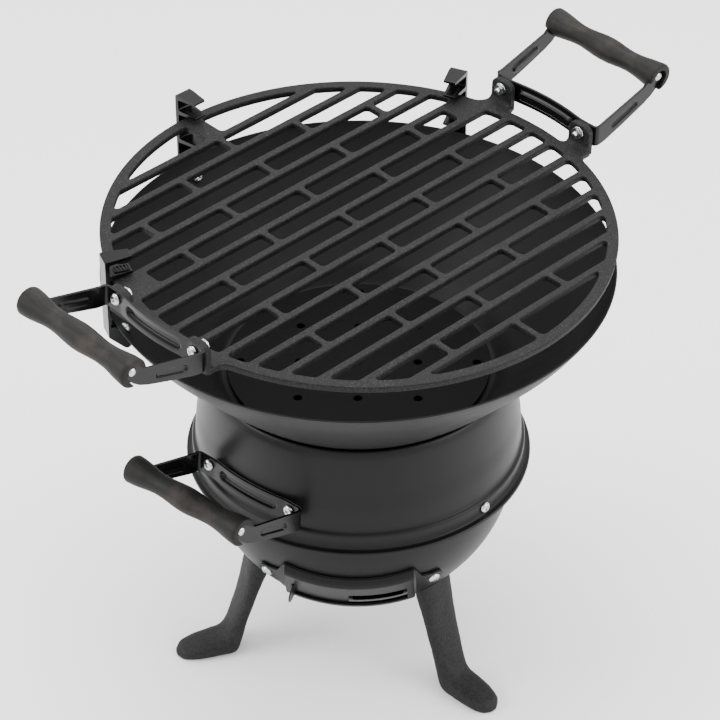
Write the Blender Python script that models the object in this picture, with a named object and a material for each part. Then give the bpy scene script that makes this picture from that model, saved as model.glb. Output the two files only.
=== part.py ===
"""Barrel fire pit with a sliding cooking grate.

The origin is on the ground under the barrel's axis, +Z is up, and the grate's two handles lie along X.
Lengths are in metres. Profiles are given as ratios of the grate's radius, measured from the grate's top.
"""

import math

import bmesh
import bpy
from mathutils import Matrix, Vector

# Driving dimensions
R = 0.1775  # radius of the cooking grate
GRATE_TOP = 0.363  # height of the grate's top at its centre
SHEET = 0.0012  # thickness of the pressed steel
GAP = 0.0003  # clearance between neighbouring pieces
SEGMENTS = 36  # facets round the turned shells
FACET_SAG = 0.0007  # how far the middle of a shell's facet lies inside the true circle

# Grate
GRATE_THICKNESS = 0.0052
GRATE_TILT = math.radians(1.6)  # the grate hangs from its three supports and droops to the front
GRATE_SHIFT = -0.001
RING_INNER = 0.955 * R
ROW_PITCH = 0.116 * R
BAR_WIDTH = 0.032 * R
BRIDGE_PITCH = 0.609 * R
BRIDGE_WIDTH = 0.0275 * R
BACK_PAD = 0.08 * R  # solid pad over the support at the back
SIDE_PAD_ROW = 5  # row whose ends are closed by solid pads over the side supports
SIDE_PAD_X = 0.805 * R
SLOT_CORNER = 0.0026
ROWS = 16
EAR_INNER = 0.1795
EAR_THICKNESS = 0.005
EAR_WIDTH = 0.0195
EAR_HEIGHT = 0.0178
BOLT_HEIGHT = 0.0118  # of the handle screws over the grate's top

# Handles
BOLT_SPACING = 0.0755
STRIP_THICKNESS = 0.002
STRIP_LOW = -0.0092  # edges of the base below and above the screws
STRIP_HIGH = 0.0056
STRIP_BOW = 0.0032
BOWED_HALF = BOLT_SPACING / 2 - 0.0055  # the base is flat beyond this, under the screw heads
EMBOSS_DEPTH = 0.0008
BASE_EMBOSS = (0.053, 0.007)
EMBOSS_LEVEL = -0.0018
ARM_EMBOSS = (0.028, 0.0056)
ARM_SLOPE = math.radians(15.5)
ARM_OFFSET = 0.0482
GRIP_REACH = 0.064
GRIP_RISE = 0.0215
GRIP_LENGTH = 0.104
GRIP_RADIUS = 0.0105
ROD_RADIUS = 0.0025
LEFT_HANDLE_PITCH = math.radians(1.5)  # set by eye
BODY_HANDLE_LEVEL = 0.2010
BODY_HANDLE_X = 0.1138
BODY_HANDLE_AZIMUTH = 184.5
BODY_HANDLE_PITCH = math.radians(4.5)  # the base lies along the sloping shell
BODY_HANDLE_WALL = 0.0088

# Supports
SUPPORT_AZIMUTHS = (22.0, 89.3, 156.5)
SUPPORT_LIFTS = (-0.0004, 0.0025, -0.003)  # the teeth follow the droop of the grate
SUPPORT_OUTER = 0.1825
SUPPORT_INNER = 0.1794
TOOTH_LENGTH = 0.0165
NOTCH_FLOOR = 0.3595  # height of the notch floor that carries the grate
TOOTH_PITCH = 0.012
TOOTH_ROOT = 0.0032
TOOTH_TIP = 0.002

# Legs, fasteners
LEG_AZIMUTHS = (31.0, 152.0, 270.0)
BELLY_AZIMUTHS = (33.0, 153.0, 273.0)
BOLT_HOLE = 0.0023
BOLT_SHANK = 0.0019
HEAD_RADIUS = 0.0042
HEAD_HEIGHT = 0.0026
NUT_RADIUS = 0.0043
NUT_HEIGHT = 0.003

# Vent: a band round the lower bowl, tilted so that it follows the bowl's curve
SPHERE_RADIUS = 0.64 * R
SPHERE_CENTRE = GRATE_TOP - 1.098 * R
VENT_AZIMUTH = math.radians(221.9)
VENT_TILT = math.radians(28.5)
VENT_HALF_ANGLE = 24.2
VENT_LOW = -0.018
VENT_HIGH = 0.025
VENT_INNER = 0.1173  # inner radius of the frame's front sheet
VENT_SCREW_ANGLE = 30.8
VENT_SCREW_HEIGHT = 0.0015
WINDOW_HALF_ANGLE = 20.5
WINDOW_BOTTOM = -0.0130
WINDOW_TOP = 0.0075
EAR_SEAT = SPHERE_RADIUS + 0.0008  # inner face of the vent's ears
EAR_EYE = 0.0072  # radius of an ear's round end
DOOR_INNER = 0.1152
DOOR_START = -21.8
DOOR_LOW = -0.0145
DOOR_HIGH = 0.0105

# Charcoal plate
PLATE_RADIUS = 0.527 * R
PLATE_THICKNESS = 0.0015
PLATE_BOTTOM = GRATE_TOP - 0.6765 * R
PLATE_HOLE = 0.003
PLATE_GRID = 0.167 * R


def level(ratio):
    """Height of a place that lies ratio * R above the grate's top."""
    return GRATE_TOP + ratio * R


def scaled(points):
    """Turn (ratio of radius, ratio of height) pairs into metres."""
    return [(r * R, level(z)) for r, z in points]


def around_z(degrees):
    return Matrix.Rotation(math.radians(degrees), 4, "Z")


# ---------------------------------------------------------------- materials and objects


def material(name, colour, roughness, metallic):
    made = bpy.data.materials.new(name)
    made.use_nodes = True
    shader = made.node_tree.nodes["Principled BSDF"]
    shader.inputs["Base Color"].default_value = (*colour, 1.0)
    shader.inputs["Roughness"].default_value = roughness
    shader.inputs["Metallic"].default_value = metallic
    return made


def add_object(name, mesh_data, finish, parent=None, matrix=None):
    """Link a bmesh as an object, in its parent's space."""
    bmesh.ops.recalc_face_normals(mesh_data, faces=mesh_data.faces)
    mesh = bpy.data.meshes.new(name)
    mesh_data.to_mesh(mesh)
    mesh_data.free()
    mesh.shade_smooth()
    mesh.set_sharp_from_angle(angle=math.radians(35))
    if finish:
        mesh.materials.append(finish)
    made = bpy.data.objects.new(name, mesh)
    bpy.context.scene.collection.objects.link(made)
    if parent:
        made.parent = parent
    if matrix:
        made.matrix_basis = matrix
    return made


def add_empty(name, matrix):
    made = bpy.data.objects.new(name, None)
    bpy.context.scene.collection.objects.link(made)
    made.matrix_basis = matrix
    return made


def boolean(target, mesh_data, operation, name):
    """Cut or join another shape, kept as a hidden guide in the target's own space."""
    tool = add_object(name, mesh_data, None)
    tool.parent = target.parent
    tool.matrix_basis = target.matrix_basis.copy()
    tool.hide_render = True
    tool.display_type = "WIRE"
    step = target.modifiers.new(name, "BOOLEAN")
    step.object = tool
    step.operation = operation
    step.solver = "EXACT"


# ---------------------------------------------------------------- shapes


def add_lathe(mesh_data, outline, segments, matrix=None):
    """Turn a closed (radius, height) outline about Z. Points at radius zero become poles."""
    matrix = matrix or Matrix.Identity(4)
    rings = []
    for radius, height in outline:
        if radius < 1e-7:
            rings.append([mesh_data.verts.new(matrix @ Vector((0, 0, height)))])
            continue
        ring = []
        for step in range(segments):
            angle = 2 * math.pi * step / segments
            spot = Vector((radius * math.cos(angle), radius * math.sin(angle), height))
            ring.append(mesh_data.verts.new(matrix @ spot))
        rings.append(ring)
    for first, second in zip(rings, rings[1:] + rings[:1]):
        if len(first) == 1 and len(second) == 1:
            continue
        for step in range(segments):
            after = (step + 1) % segments
            corners = [first[step % len(first)], first[after % len(first)]]
            corners += [second[after % len(second)], second[step % len(second)]]
            mesh_data.faces.new(list(dict.fromkeys(corners)))


def lathe(outline, segments=SEGMENTS, matrix=None):
    mesh_data = bmesh.new()
    add_lathe(mesh_data, outline, segments, matrix)
    return mesh_data


def inward(points, thickness):
    """Offset an open profile to its right-hand side by the sheet's thickness."""
    result = []
    for index, point in enumerate(points):
        here = Vector(point)
        normals = []
        for other in (index - 1, index + 1):
            if 0 <= other < len(points):
                along = (Vector(points[other]) - here) * (1 if other > index else -1)
                along.normalize()
                normals.append(Vector((along.y, -along.x)))
        mean = sum(normals, Vector((0, 0))).normalized()
        stretch = 1 / max(0.5, mean.dot(normals[0]))
        result.append(tuple(here + mean * thickness * stretch))
    return [(max(0.0, radius), height) for radius, height in result]


def sheet_outline(points, thickness=SHEET):
    """Closed outline of a pressed sheet whose outer side follows the points."""
    return points + inward(points, thickness)[::-1]


def add_prism(mesh_data, outline, low, high, matrix=None):
    """Extrude a closed (x, y) outline from low to high along Z."""
    matrix = matrix or Matrix.Identity(4)
    bottom = [mesh_data.verts.new(matrix @ Vector((x, y, low))) for x, y in outline]
    top = [mesh_data.verts.new(matrix @ Vector((x, y, high))) for x, y in outline]
    mesh_data.faces.new(bottom[::-1])
    mesh_data.faces.new(top)
    for index in range(len(outline)):
        after = (index + 1) % len(outline)
        mesh_data.faces.new((bottom[index], bottom[after], top[after], top[index]))


def prism(outline, low, high, matrix=None):
    mesh_data = bmesh.new()
    add_prism(mesh_data, outline, low, high, matrix)
    return mesh_data


def add_cylinder(mesh_data, start, end, radius, segments=10):
    start = Vector(start)
    along = Vector(end) - start
    turn = along.to_track_quat("Z", "Y").to_matrix().to_4x4()
    outline = [(0, 0), (radius, 0), (radius, along.length), (0, along.length)]
    add_lathe(mesh_data, outline, segments, Matrix.Translation(start) @ turn)


def plate(outer, holes, low, high):
    """Flat plate with holes, from outlines in the XY plane."""
    mesh_data = bmesh.new()
    walls = []
    for height in (low, high):
        edges = []
        for loop_index, outline in enumerate([outer] + holes):
            verts = [mesh_data.verts.new((x, y, height)) for x, y in outline]
            pairs = zip(verts, verts[1:] + verts[:1])
            edges += [mesh_data.edges.new(pair) for pair in pairs]
            walls.append((loop_index, verts))
        bmesh.ops.triangle_fill(mesh_data, use_beauty=True, edges=edges)
    half = len(walls) // 2
    for (_, lower), (_, upper) in zip(walls[:half], walls[half:]):
        for index in range(len(lower)):
            after = (index + 1) % len(lower)
            mesh_data.faces.new((lower[index], lower[after], upper[after], upper[index]))
    return mesh_data


def circle(x, y, radius, segments):
    turn = 2 * math.pi / segments
    return [(x + radius * math.cos(turn * i), y + radius * math.sin(turn * i)) for i in range(segments)]


def rounded(corners, radius, steps=2):
    """Round the corners of an outline; a corner is (x, y) or (x, y, False) to stay as it is."""
    result = []
    for index, corner in enumerate(corners):
        here = Vector(corner[:2])
        if len(corner) == 3:
            result.append(tuple(here))
            continue
        before = Vector(corners[index - 1][:2]) - here
        after = Vector(corners[(index + 1) % len(corners)][:2]) - here
        half = before.angle(after) / 2
        reach = min(radius / math.tan(half), 0.45 * before.length, 0.45 * after.length)
        start = here + before.normalized() * reach
        end = here + after.normalized() * reach
        for step in range(steps + 1):
            t = step / steps
            result.append(tuple(start * (1 - t) ** 2 + here * 2 * t * (1 - t) + end * t ** 2))
    return result


# ---------------------------------------------------------------- fasteners


def fastener_matrix(seat, direction):
    """Local +Z points out of the head, local origin under the head."""
    turn = Vector(direction).to_track_quat("Z", "Y").to_matrix().to_4x4()
    return Matrix.Translation(Vector(seat)) @ turn


def add_screw(name, seat, direction, length, finish, parent=None, size=1.0):
    head = HEAD_RADIUS * size
    tall = HEAD_HEIGHT * size
    outline = [(0, tall), (0.55 * head, 0.9 * tall), (0.88 * head, 0.6 * tall), (head, 0.15 * tall)]
    outline += [(head, 0), (BOLT_SHANK, 0), (BOLT_SHANK, -length), (0, -length)]
    return add_object(name, lathe(outline, 10), finish, parent, fastener_matrix(seat, direction))


def add_nut(name, seat, direction, finish, parent=None):
    hexagon = circle(0, 0, NUT_RADIUS, 6)
    hole = circle(0, 0, BOLT_HOLE, 10)
    return add_object(name, plate(hexagon, [hole], 0, NUT_HEIGHT), finish, parent,
                      fastener_matrix(seat, direction))


# ---------------------------------------------------------------- shells


BOWL_WALL = [(1.0056, -0.1823), (0.985, -0.217), (0.930, -0.293), (0.820, -0.415), (0.700, -0.540),
             (0.605, -0.630), (0.546, -0.698), (0.450, -0.698)]
SHELL_WALL = [(0.450, -0.7075), (0.553, -0.7075), (0.603, -0.643), (0.614, -0.6335), (0.625, -0.642),
              (0.633, -0.680), (0.645, -0.800), (0.655, -0.910), (0.6585, -0.998), (0.668, -1.006),
              (0.6735, -1.015), (0.6735, -1.067), (0.679, -1.0755), (0.697, -1.0785), (0.697, -1.0915)]
COLLAR = [(0.663, -1.024), (0.663, -1.088), (0.652, -1.100)]
SUPPORT_SCREW = (0.958 * R, level(-0.254))  # where a support's screw meets the bowl's outside
BOWL_BOLT_CIRCLE = 0.500 * R
BELLY_SCREW_LEVEL = level(-1.043)
LEG_BOLT_LATITUDE = math.radians(50.0)


def wall_normal(first, second):
    """Outward normal of a wall that runs down from first to second, as (radial, vertical)."""
    along = (Vector(second) - Vector(first)).normalized()
    return Vector((-along.y, along.x))


def radial(azimuth, radius, height):
    angle = math.radians(azimuth)
    return Vector((radius * math.cos(angle), radius * math.sin(angle), height))


def radial_direction(azimuth, pair):
    return radial(azimuth, pair[0], pair[1])


SUPPORT_NORMAL = wall_normal((0.985, -0.217), (0.930, -0.293))


def make_fire_bowl(finish):
    bowl = add_object("fire_bowl", lathe(sheet_outline(scaled(BOWL_WALL))), finish)
    holes = bmesh.new()
    for azimuth in SUPPORT_AZIMUTHS:
        spot = radial(azimuth, *SUPPORT_SCREW)
        out = radial_direction(azimuth, SUPPORT_NORMAL)
        add_cylinder(holes, spot - out * 0.006, spot + out * 0.006, BOLT_HOLE)
    for azimuth in LEG_AZIMUTHS:
        low = radial(azimuth, BOWL_BOLT_CIRCLE, level(-0.73))
        high = radial(azimuth, BOWL_BOLT_CIRCLE, level(-0.67))
        add_cylinder(holes, low, high, BOLT_HOLE)
    boolean(bowl, holes, "DIFFERENCE", "fire_bowl_holes")


def make_upper_shell(finish):
    shell = add_object("upper_shell", lathe(sheet_outline(scaled(SHELL_WALL))), finish)
    holes = bmesh.new()
    for azimuth in LEG_AZIMUTHS:
        low = radial(azimuth, BOWL_BOLT_CIRCLE, level(-0.74))
        high = radial(azimuth, BOWL_BOLT_CIRCLE, level(-0.68))
        add_cylinder(holes, low, high, BOLT_HOLE)
    for azimuth in BELLY_AZIMUTHS:
        inner = radial(azimuth, 0.62 * R, BELLY_SCREW_LEVEL)
        outer = radial(azimuth, 0.70 * R, BELLY_SCREW_LEVEL)
        add_cylinder(holes, inner, outer, BOLT_HOLE)
    place = body_handle_place()
    for side in (-1, 1):
        y = side * BOLT_SPACING / 2
        add_cylinder(holes, place @ Vector((0.01, y, 0)), place @ Vector((-0.02, y, 0)), BOLT_HOLE)
    boolean(shell, holes, "DIFFERENCE", "upper_shell_holes")


def body_handle_place():
    """Frame of the body handle: +X out of the barrel, origin between its screws."""
    lean = Matrix.Rotation(-BODY_HANDLE_PITCH, 4, "Y")
    seat = Matrix.Translation((BODY_HANDLE_X, 0, BODY_HANDLE_LEVEL))
    return around_z(BODY_HANDLE_AZIMUTH) @ seat @ lean


def sphere_point(latitude, radius=SPHERE_RADIUS):
    """Point of the lower bowl's sphere, latitude measured downwards."""
    return (radius * math.cos(latitude), SPHERE_CENTRE - radius * math.sin(latitude))


def lower_bowl_profile():
    flat = math.acos(0.30 / 0.64)
    curve = [sphere_point(math.radians(3) + (flat - math.radians(3)) * i / 7) for i in range(8)]
    return scaled(COLLAR) + curve + [(0.0, curve[-1][1])]


def vent_matrix():
    """Frame of the vent's band: +X out through its middle, +Z its axis, origin at the sphere's centre."""
    turn = Matrix.Rotation(VENT_AZIMUTH, 4, "Z") @ Matrix.Rotation(VENT_TILT, 4, "Y")
    return Matrix.Translation((0, 0, SPHERE_CENTRE)) @ turn


def arc(radius, start, end, steps):
    """Points of an arc, angles in degrees."""
    angles = [math.radians(start + (end - start) * i / steps) for i in range(steps + 1)]
    return [(radius * math.cos(a), radius * math.sin(a)) for a in angles]


def band(inner, outer, start, end, steps=6):
    """Closed outline of a curved strip."""
    return arc(inner, start, end, steps) + arc(outer, end, start, steps)


def vent_screw_direction(side):
    """Direction of a vent screw in the vent's own frame."""
    angle = math.radians(side * VENT_SCREW_ANGLE)
    return Vector((math.cos(angle), math.sin(angle), VENT_SCREW_HEIGHT / SPHERE_RADIUS)).normalized()


def make_lower_bowl(finish):
    bowl = add_object("lower_bowl", lathe(sheet_outline(lower_bowl_profile())), finish)
    holes = bmesh.new()
    for azimuth in BELLY_AZIMUTHS:
        inner = radial(azimuth, 0.62 * R, BELLY_SCREW_LEVEL)
        outer = radial(azimuth, 0.70 * R, BELLY_SCREW_LEVEL)
        add_cylinder(holes, inner, outer, BOLT_HOLE)
    for azimuth in LEG_AZIMUTHS:
        centre = Vector((0, 0, SPHERE_CENTRE))
        out = radial(azimuth, math.cos(LEG_BOLT_LATITUDE), -math.sin(LEG_BOLT_LATITUDE))
        add_cylinder(holes, centre + out * 0.100, centre + out * 0.125, BOLT_HOLE)
    frame = vent_matrix()
    add_prism(holes, band(0.100, 0.120, 1.0, 19.4, 3), VENT_LOW + 0.0015, WINDOW_TOP - 0.001, frame)
    for side in (-1, 1):
        out = frame.to_3x3() @ vent_screw_direction(side)
        centre = frame.translation
        add_cylinder(holes, centre + out * 0.105, centre + out * 0.120, BOLT_HOLE)
    boolean(bowl, holes, "DIFFERENCE", "lower_bowl_holes")


def make_belly_screws(finish):
    for number, azimuth in enumerate(BELLY_AZIMUTHS, 1):
        seat = radial(azimuth, 0.6735 * R + GAP, BELLY_SCREW_LEVEL)
        add_screw(f"belly_screw_{number}", seat, radial(azimuth, 1, 0), 0.008, finish)


def make_bowl_bolts(finish):
    for number, azimuth in enumerate(LEG_AZIMUTHS, 1):
        seat = radial(azimuth, BOWL_BOLT_CIRCLE, level(-0.698) + SHEET + GAP)
        add_screw(f"bowl_bolt_{number}", seat, (0, 0, 1), 0.010, finish, size=0.6)


def make_charcoal_plate(finish, parent):
    holes = []
    for row in range(-2, 3):
        for column in range(-2, 3):
            x, y = row * PLATE_GRID, column * PLATE_GRID
            if (row + column) % 2 == 0 and math.hypot(x, y) < 0.48 * R:
                holes.append(circle(x, y, PLATE_HOLE, 8))
    rim = circle(0, 0, PLATE_RADIUS, SEGMENTS)
    add_object("charcoal_plate", plate(rim, holes, 0, PLATE_THICKNESS), finish, parent)


# ---------------------------------------------------------------- grate


def ring_x(y):
    return math.sqrt(max(0.0, RING_INNER ** 2 - y ** 2))


def slot_outline(low, high, left, right):
    """One slot between the heights low and high; a side given as None follows the ring."""
    def end(side, straight):
        if straight is not None:
            return [(straight, low), (straight, high)]
        middle = (low + high) / 2
        corners = [(side * ring_x(low), low), (side * ring_x(high), high)]
        return [corners[0], (side * ring_x(middle), middle, False), corners[1]]

    return rounded(end(1, right) + end(-1, left)[::-1], SLOT_CORNER)


def crescent_outline(edge, side, top):
    """Half of the slot between the ring and the outermost bar."""
    tip = 0.97 * ring_x(edge)
    inner = BACK_PAD / 2 if top else BRIDGE_WIDTH / 2
    sign = 1 if top else -1
    sweep = [side * (tip + (inner - tip) * i / 6) for i in range(1, 7)]
    curve = [(x, sign * ring_x(x), False) for x in sweep]
    curve[-1] = curve[-1][:2]
    return rounded([(side * inner, edge), (side * tip, edge)] + curve, SLOT_CORNER)


def grate_slots():
    """Sixteen rows of slots; the bridges of one row stand between those of the next."""
    slots = []
    half = (ROW_PITCH - BAR_WIDTH) / 2
    for row in range(1, ROWS - 1):
        middle = ((ROWS - 1) / 2 - row) * ROW_PITCH
        low, high = middle - half, middle + half
        shift = 0.0 if row % 2 else 0.5
        bridges = [(k + shift) * BRIDGE_PITCH for k in range(-2, 2)]
        reach = ring_x(max(abs(low), abs(high))) - 0.012
        bridges = [x for x in bridges if abs(x) < reach]
        edges = [None]
        for x in bridges:
            edges += [x - BRIDGE_WIDTH / 2, x + BRIDGE_WIDTH / 2]
        edges.append(None)
        cells = list(zip(edges[::2], edges[1::2]))
        if row == SIDE_PAD_ROW:
            cells[0] = (-SIDE_PAD_X, cells[0][1])
            cells[-1] = (cells[-1][0], SIDE_PAD_X)
        slots += [slot_outline(low, high, left, right) for left, right in cells]
    edge = (ROWS - 1) / 2 * ROW_PITCH - half
    for side in (-1, 1):
        slots.append(crescent_outline(edge, side, True))
        slots.append(crescent_outline(-edge, side, False))
    return slots


def grate_outline():
    """Round outline with a lobe that carries each pair of ears."""
    lobe_inner = BOLT_SPACING / 2 - EAR_WIDTH / 2 - 0.001
    lobe_outer = BOLT_SPACING / 2 + EAR_WIDTH / 2 + 0.001
    reach = EAR_INNER + EAR_THICKNESS
    inner_angle = math.degrees(math.asin((lobe_inner - 0.006) / R))
    outer_angle = math.degrees(math.asin((lobe_outer + 0.008) / R))
    outline = []
    for base in (0, 180):
        turn = 1 if base == 0 else -1
        spots = [(reach - 0.0045, lobe_inner - 0.002), (reach - 0.0008, lobe_inner),
                 (reach - 0.0008, lobe_outer), (reach - 0.006, lobe_outer + 0.002)]
        outline += [(turn * x, -turn * y) for x, y in reversed(spots)]
        outline += [(turn * x, turn * y) for x, y in arc(R, -inner_angle, inner_angle, 4)]
        outline += [(turn * x, turn * y) for x, y in spots]
        outline += [(turn * x, turn * y) for x, y in arc(R, outer_angle, 180 - outer_angle, 30)]
    return outline


def make_cooking_grate(finish, parent):
    blank = plate(grate_outline(), grate_slots(), -GRATE_THICKNESS, 0)
    base = add_object("cooking_grate", blank, finish, parent)
    ears = bmesh.new()
    half = EAR_WIDTH / 2
    corners = [(-half, -0.003, False), (half, -0.003, False), (half, EAR_HEIGHT), (-half, EAR_HEIGHT)]
    shape = rounded(corners, 0.005, 2)
    for turn in (0, 180):
        for side in (-1, 1):
            spot = Vector((EAR_INNER, side * BOLT_SPACING / 2, 0))
            stand = Matrix(((0, 0, 1, 0), (1, 0, 0, 0), (0, 1, 0, 0), (0, 0, 0, 1)))
            place = around_z(turn) @ Matrix.Translation(spot) @ stand
            add_prism(ears, shape, 0, EAR_THICKNESS, place)
    boolean(base, ears, "UNION", "grate_ears")
    holes = bmesh.new()
    for turn in (-1, 1):
        for side in (-1, 1):
            y = side * BOLT_SPACING / 2
            start = (turn * (EAR_INNER - 0.002), y, BOLT_HEIGHT)
            end = (turn * (EAR_INNER + 0.008), y, BOLT_HEIGHT)
            add_cylinder(holes, start, end, BOLT_HOLE)
    boolean(base, holes, "DIFFERENCE", "grate_ear_holes")


# ---------------------------------------------------------------- handles


def bow(y):
    """How far the base of the strip stands away from the wall."""
    return STRIP_BOW * (1 - (y / BOWED_HALF) ** 2)


def strip_outline():
    """Plan of the bent strip: a bowed base with an arm at each end."""
    reach = 0.085
    steps = [BOWED_HALF * (i / 5 - 1) for i in range(11)]
    outer_y = ARM_OFFSET + STRIP_THICKNESS / 2
    inner_y = ARM_OFFSET - STRIP_THICKNESS / 2
    back = [(bow(y), y) for y in steps]
    front = [(bow(y) + STRIP_THICKNESS, y) for y in reversed(steps)]
    outline = [(reach, -outer_y), (0.0015, -outer_y), (0, -outer_y + 0.0015)]
    outline += back
    outline += [(0, outer_y - 0.0015), (0.0015, outer_y), (reach, outer_y)]
    outline += [(reach, inner_y), (STRIP_THICKNESS, inner_y)]
    outline += front
    outline += [(STRIP_THICKNESS, -inner_y), (reach, -inner_y)]
    return outline


def arm_profile():
    """Side view of the strip: rising arms that turn up to the rounded tips that hold the grip."""
    tip = [(GRIP_REACH + 0.0052 * math.sin(a), GRIP_RISE + 0.0052 * math.cos(a))
           for a in [math.radians(d) for d in (-45, 0, 45, 90, 125)]]
    under = [(-0.001, STRIP_LOW), (0.010, STRIP_LOW), (0.028, -0.0050), (0.0530, 0.0038)]
    over = [(0.0545, 0.0175), (0.030, 0.0117), (0.010, 0.0070), (-0.001, STRIP_HIGH)]
    return under + tip[::-1] + over


def stadium(length, width):
    """Slot-shaped outline centred on the origin."""
    half = (length - width) / 2
    right = [(x + half, y) for x, y in arc(width / 2, -90, 90, 3)]
    return right + [(-x, -y) for x, y in right]


def emboss_cutters():
    """Shallow recesses in the outside of the strip: one along its base, one on each arm."""
    cutters = bmesh.new()
    length, width = BASE_EMBOSS
    steps = [length / 2 * (i / 4 - 1) for i in range(9)]
    floor = STRIP_THICKNESS - EMBOSS_DEPTH
    outline = [(bow(y) + floor, y) for y in steps] + [(bow(y) + floor + 0.004, y) for y in reversed(steps)]
    add_prism(cutters, outline, EMBOSS_LEVEL - width / 2, EMBOSS_LEVEL + width / 2)
    lean = Matrix.Translation((0.027, 0.0028, 0)) @ Matrix.Rotation(ARM_SLOPE, 4, "Z")
    for side in (-1, 1):
        face = ARM_OFFSET + STRIP_THICKNESS / 2
        stand = Matrix(((1, 0, 0, 0), (0, 0, side, 0), (0, 1, 0, 0), (0, 0, 0, 1))) @ lean
        add_prism(cutters, stadium(*ARM_EMBOSS), face - EMBOSS_DEPTH, face + 0.003, stand)
    return cutters


def make_bracket(name, finish, parent, place):
    bracket = add_object(name, prism(strip_outline(), -0.02, 0.05), finish, parent, place)
    stand = Matrix(((1, 0, 0, 0), (0, 0, 1, 0), (0, 1, 0, 0), (0, 0, 0, 1)))
    boolean(bracket, prism(arm_profile(), -0.06, 0.06, stand), "INTERSECT", name + "_profile")
    boolean(bracket, emboss_cutters(), "DIFFERENCE", name + "_emboss")
    holes = bmesh.new()
    for side in (-1, 1):
        y = side * BOLT_SPACING / 2
        add_cylinder(holes, (-0.01, y, 0), (0.01, y, 0), BOLT_HOLE)
        across = side * ARM_OFFSET
        inner = (GRIP_REACH, across - 0.005, GRIP_RISE)
        outer = (GRIP_REACH, across + 0.005, GRIP_RISE)
        add_cylinder(holes, inner, outer, ROD_RADIUS + GAP)
    boolean(bracket, holes, "DIFFERENCE", name + "_holes")


def grip_profile():
    """Wavy turned grip: thick ends, two waists and a fuller middle."""
    half = GRIP_LENGTH / 2
    side = []
    for step in range(11):
        t = step / 10
        swell = 0.0011 * math.cos(4 * math.pi * t) - 0.0006 * math.cos(2 * math.pi * (t - 0.5))
        side.append((GRIP_RADIUS - 0.0017 + swell, half - GRIP_LENGTH * t))
    bore = ROD_RADIUS + GAP
    return [(bore, half)] + side + [(bore, -half)]


def make_grip(name, finish, parent, place):
    stand = place @ Matrix.Translation((GRIP_REACH, 0, GRIP_RISE)) @ Matrix.Rotation(-math.pi / 2, 4, "X")
    grip = add_object(name, lathe(grip_profile(), 16), finish, parent, stand)
    notches = bmesh.new()
    floor = ARM_OFFSET - STRIP_THICKNESS / 2 - GAP
    for side in (-1, 1):
        turn = Matrix.Rotation(-math.atan2(GRIP_RISE, GRIP_REACH - 0.044), 4, "Z")
        outline = [(-0.02, -0.0085), (0, -0.0058), (0.0035, -0.0050), (0.0058, 0)]
        outline += [(x, -y) for x, y in outline[-2::-1]]
        low, high = sorted((side * floor, side * (floor + 0.02)))
        add_prism(notches, outline, low, high, turn)
    boolean(grip, notches, "DIFFERENCE", name + "_notches")


def make_rod(name, finish, parent, place):
    stand = place @ Matrix.Translation((GRIP_REACH, 0, GRIP_RISE)) @ Matrix.Rotation(-math.pi / 2, 4, "X")
    face = ARM_OFFSET + STRIP_THICKNESS / 2 + GAP
    outline = [(0, face + 0.0014), (0.0020, face + 0.0012), (0.0034, face), (ROD_RADIUS, face),
               (ROD_RADIUS, -face), (0.0034, -face), (0.0020, -face - 0.0012), (0, -face - 0.0014)]
    add_object(name, lathe(outline, 12), finish, parent, stand)


def make_handle(prefix, finishes, parent, place, wall):
    """A handle bolted through a wall of the given thickness behind its strip."""
    make_bracket(prefix + "_bracket", finishes["gloss"], parent, place)
    make_grip(prefix + "_grip", finishes["grip"], parent, place)
    make_rod(prefix + "_rod", finishes["zinc"], parent, place)
    for number, side in enumerate((-1, 1), 1):
        y = side * BOLT_SPACING / 2
        seat = place @ Vector((STRIP_THICKNESS + GAP, y, 0))
        out = place.to_3x3() @ Vector((1, 0, 0))
        length = STRIP_THICKNESS + wall + NUT_HEIGHT + 0.0025
        add_screw(f"{prefix}_screw_{number}", seat, out, length, finishes["zinc"], parent)
        back = place @ Vector((-wall, y, 0))
        add_nut(f"{prefix}_nut_{number}", back, -out, finishes["zinc"], parent)


# ---------------------------------------------------------------- supports


def support_outline(lift):
    """Side view of a notched support as (radius, height)."""
    root = SUPPORT_INNER
    tip = SUPPORT_INNER - TOOTH_LENGTH
    top = NOTCH_FLOOR + 2 * TOOTH_PITCH + lift
    outline = [(SUPPORT_OUTER, 0.318), (SUPPORT_OUTER, top)]
    for number in range(4):
        over = top - number * TOOTH_PITCH
        outline += [(tip, over), (tip, over - TOOTH_TIP), (root, over - TOOTH_ROOT)]
        if number < 3:
            outline.append((root, over - TOOTH_PITCH))
    return outline


def support_foot():
    """Side view of the foot that lies against the bowl's wall."""
    across = SUPPORT_NORMAL * 0.0006
    upper = Vector((0.985 * R, level(-0.217))) + across
    lower = Vector((0.930 * R, level(-0.293))) + across
    slope = (lower - upper).normalized()
    start = upper + slope * 0.002
    end = upper + slope * 0.0175
    return [(SUPPORT_INNER, 0.350), (SUPPORT_INNER, 0.3285), tuple(start), tuple(end),
            (end.x + 0.005, end.y - 0.004), (SUPPORT_OUTER, 0.3185), (SUPPORT_OUTER, 0.350)]


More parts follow.
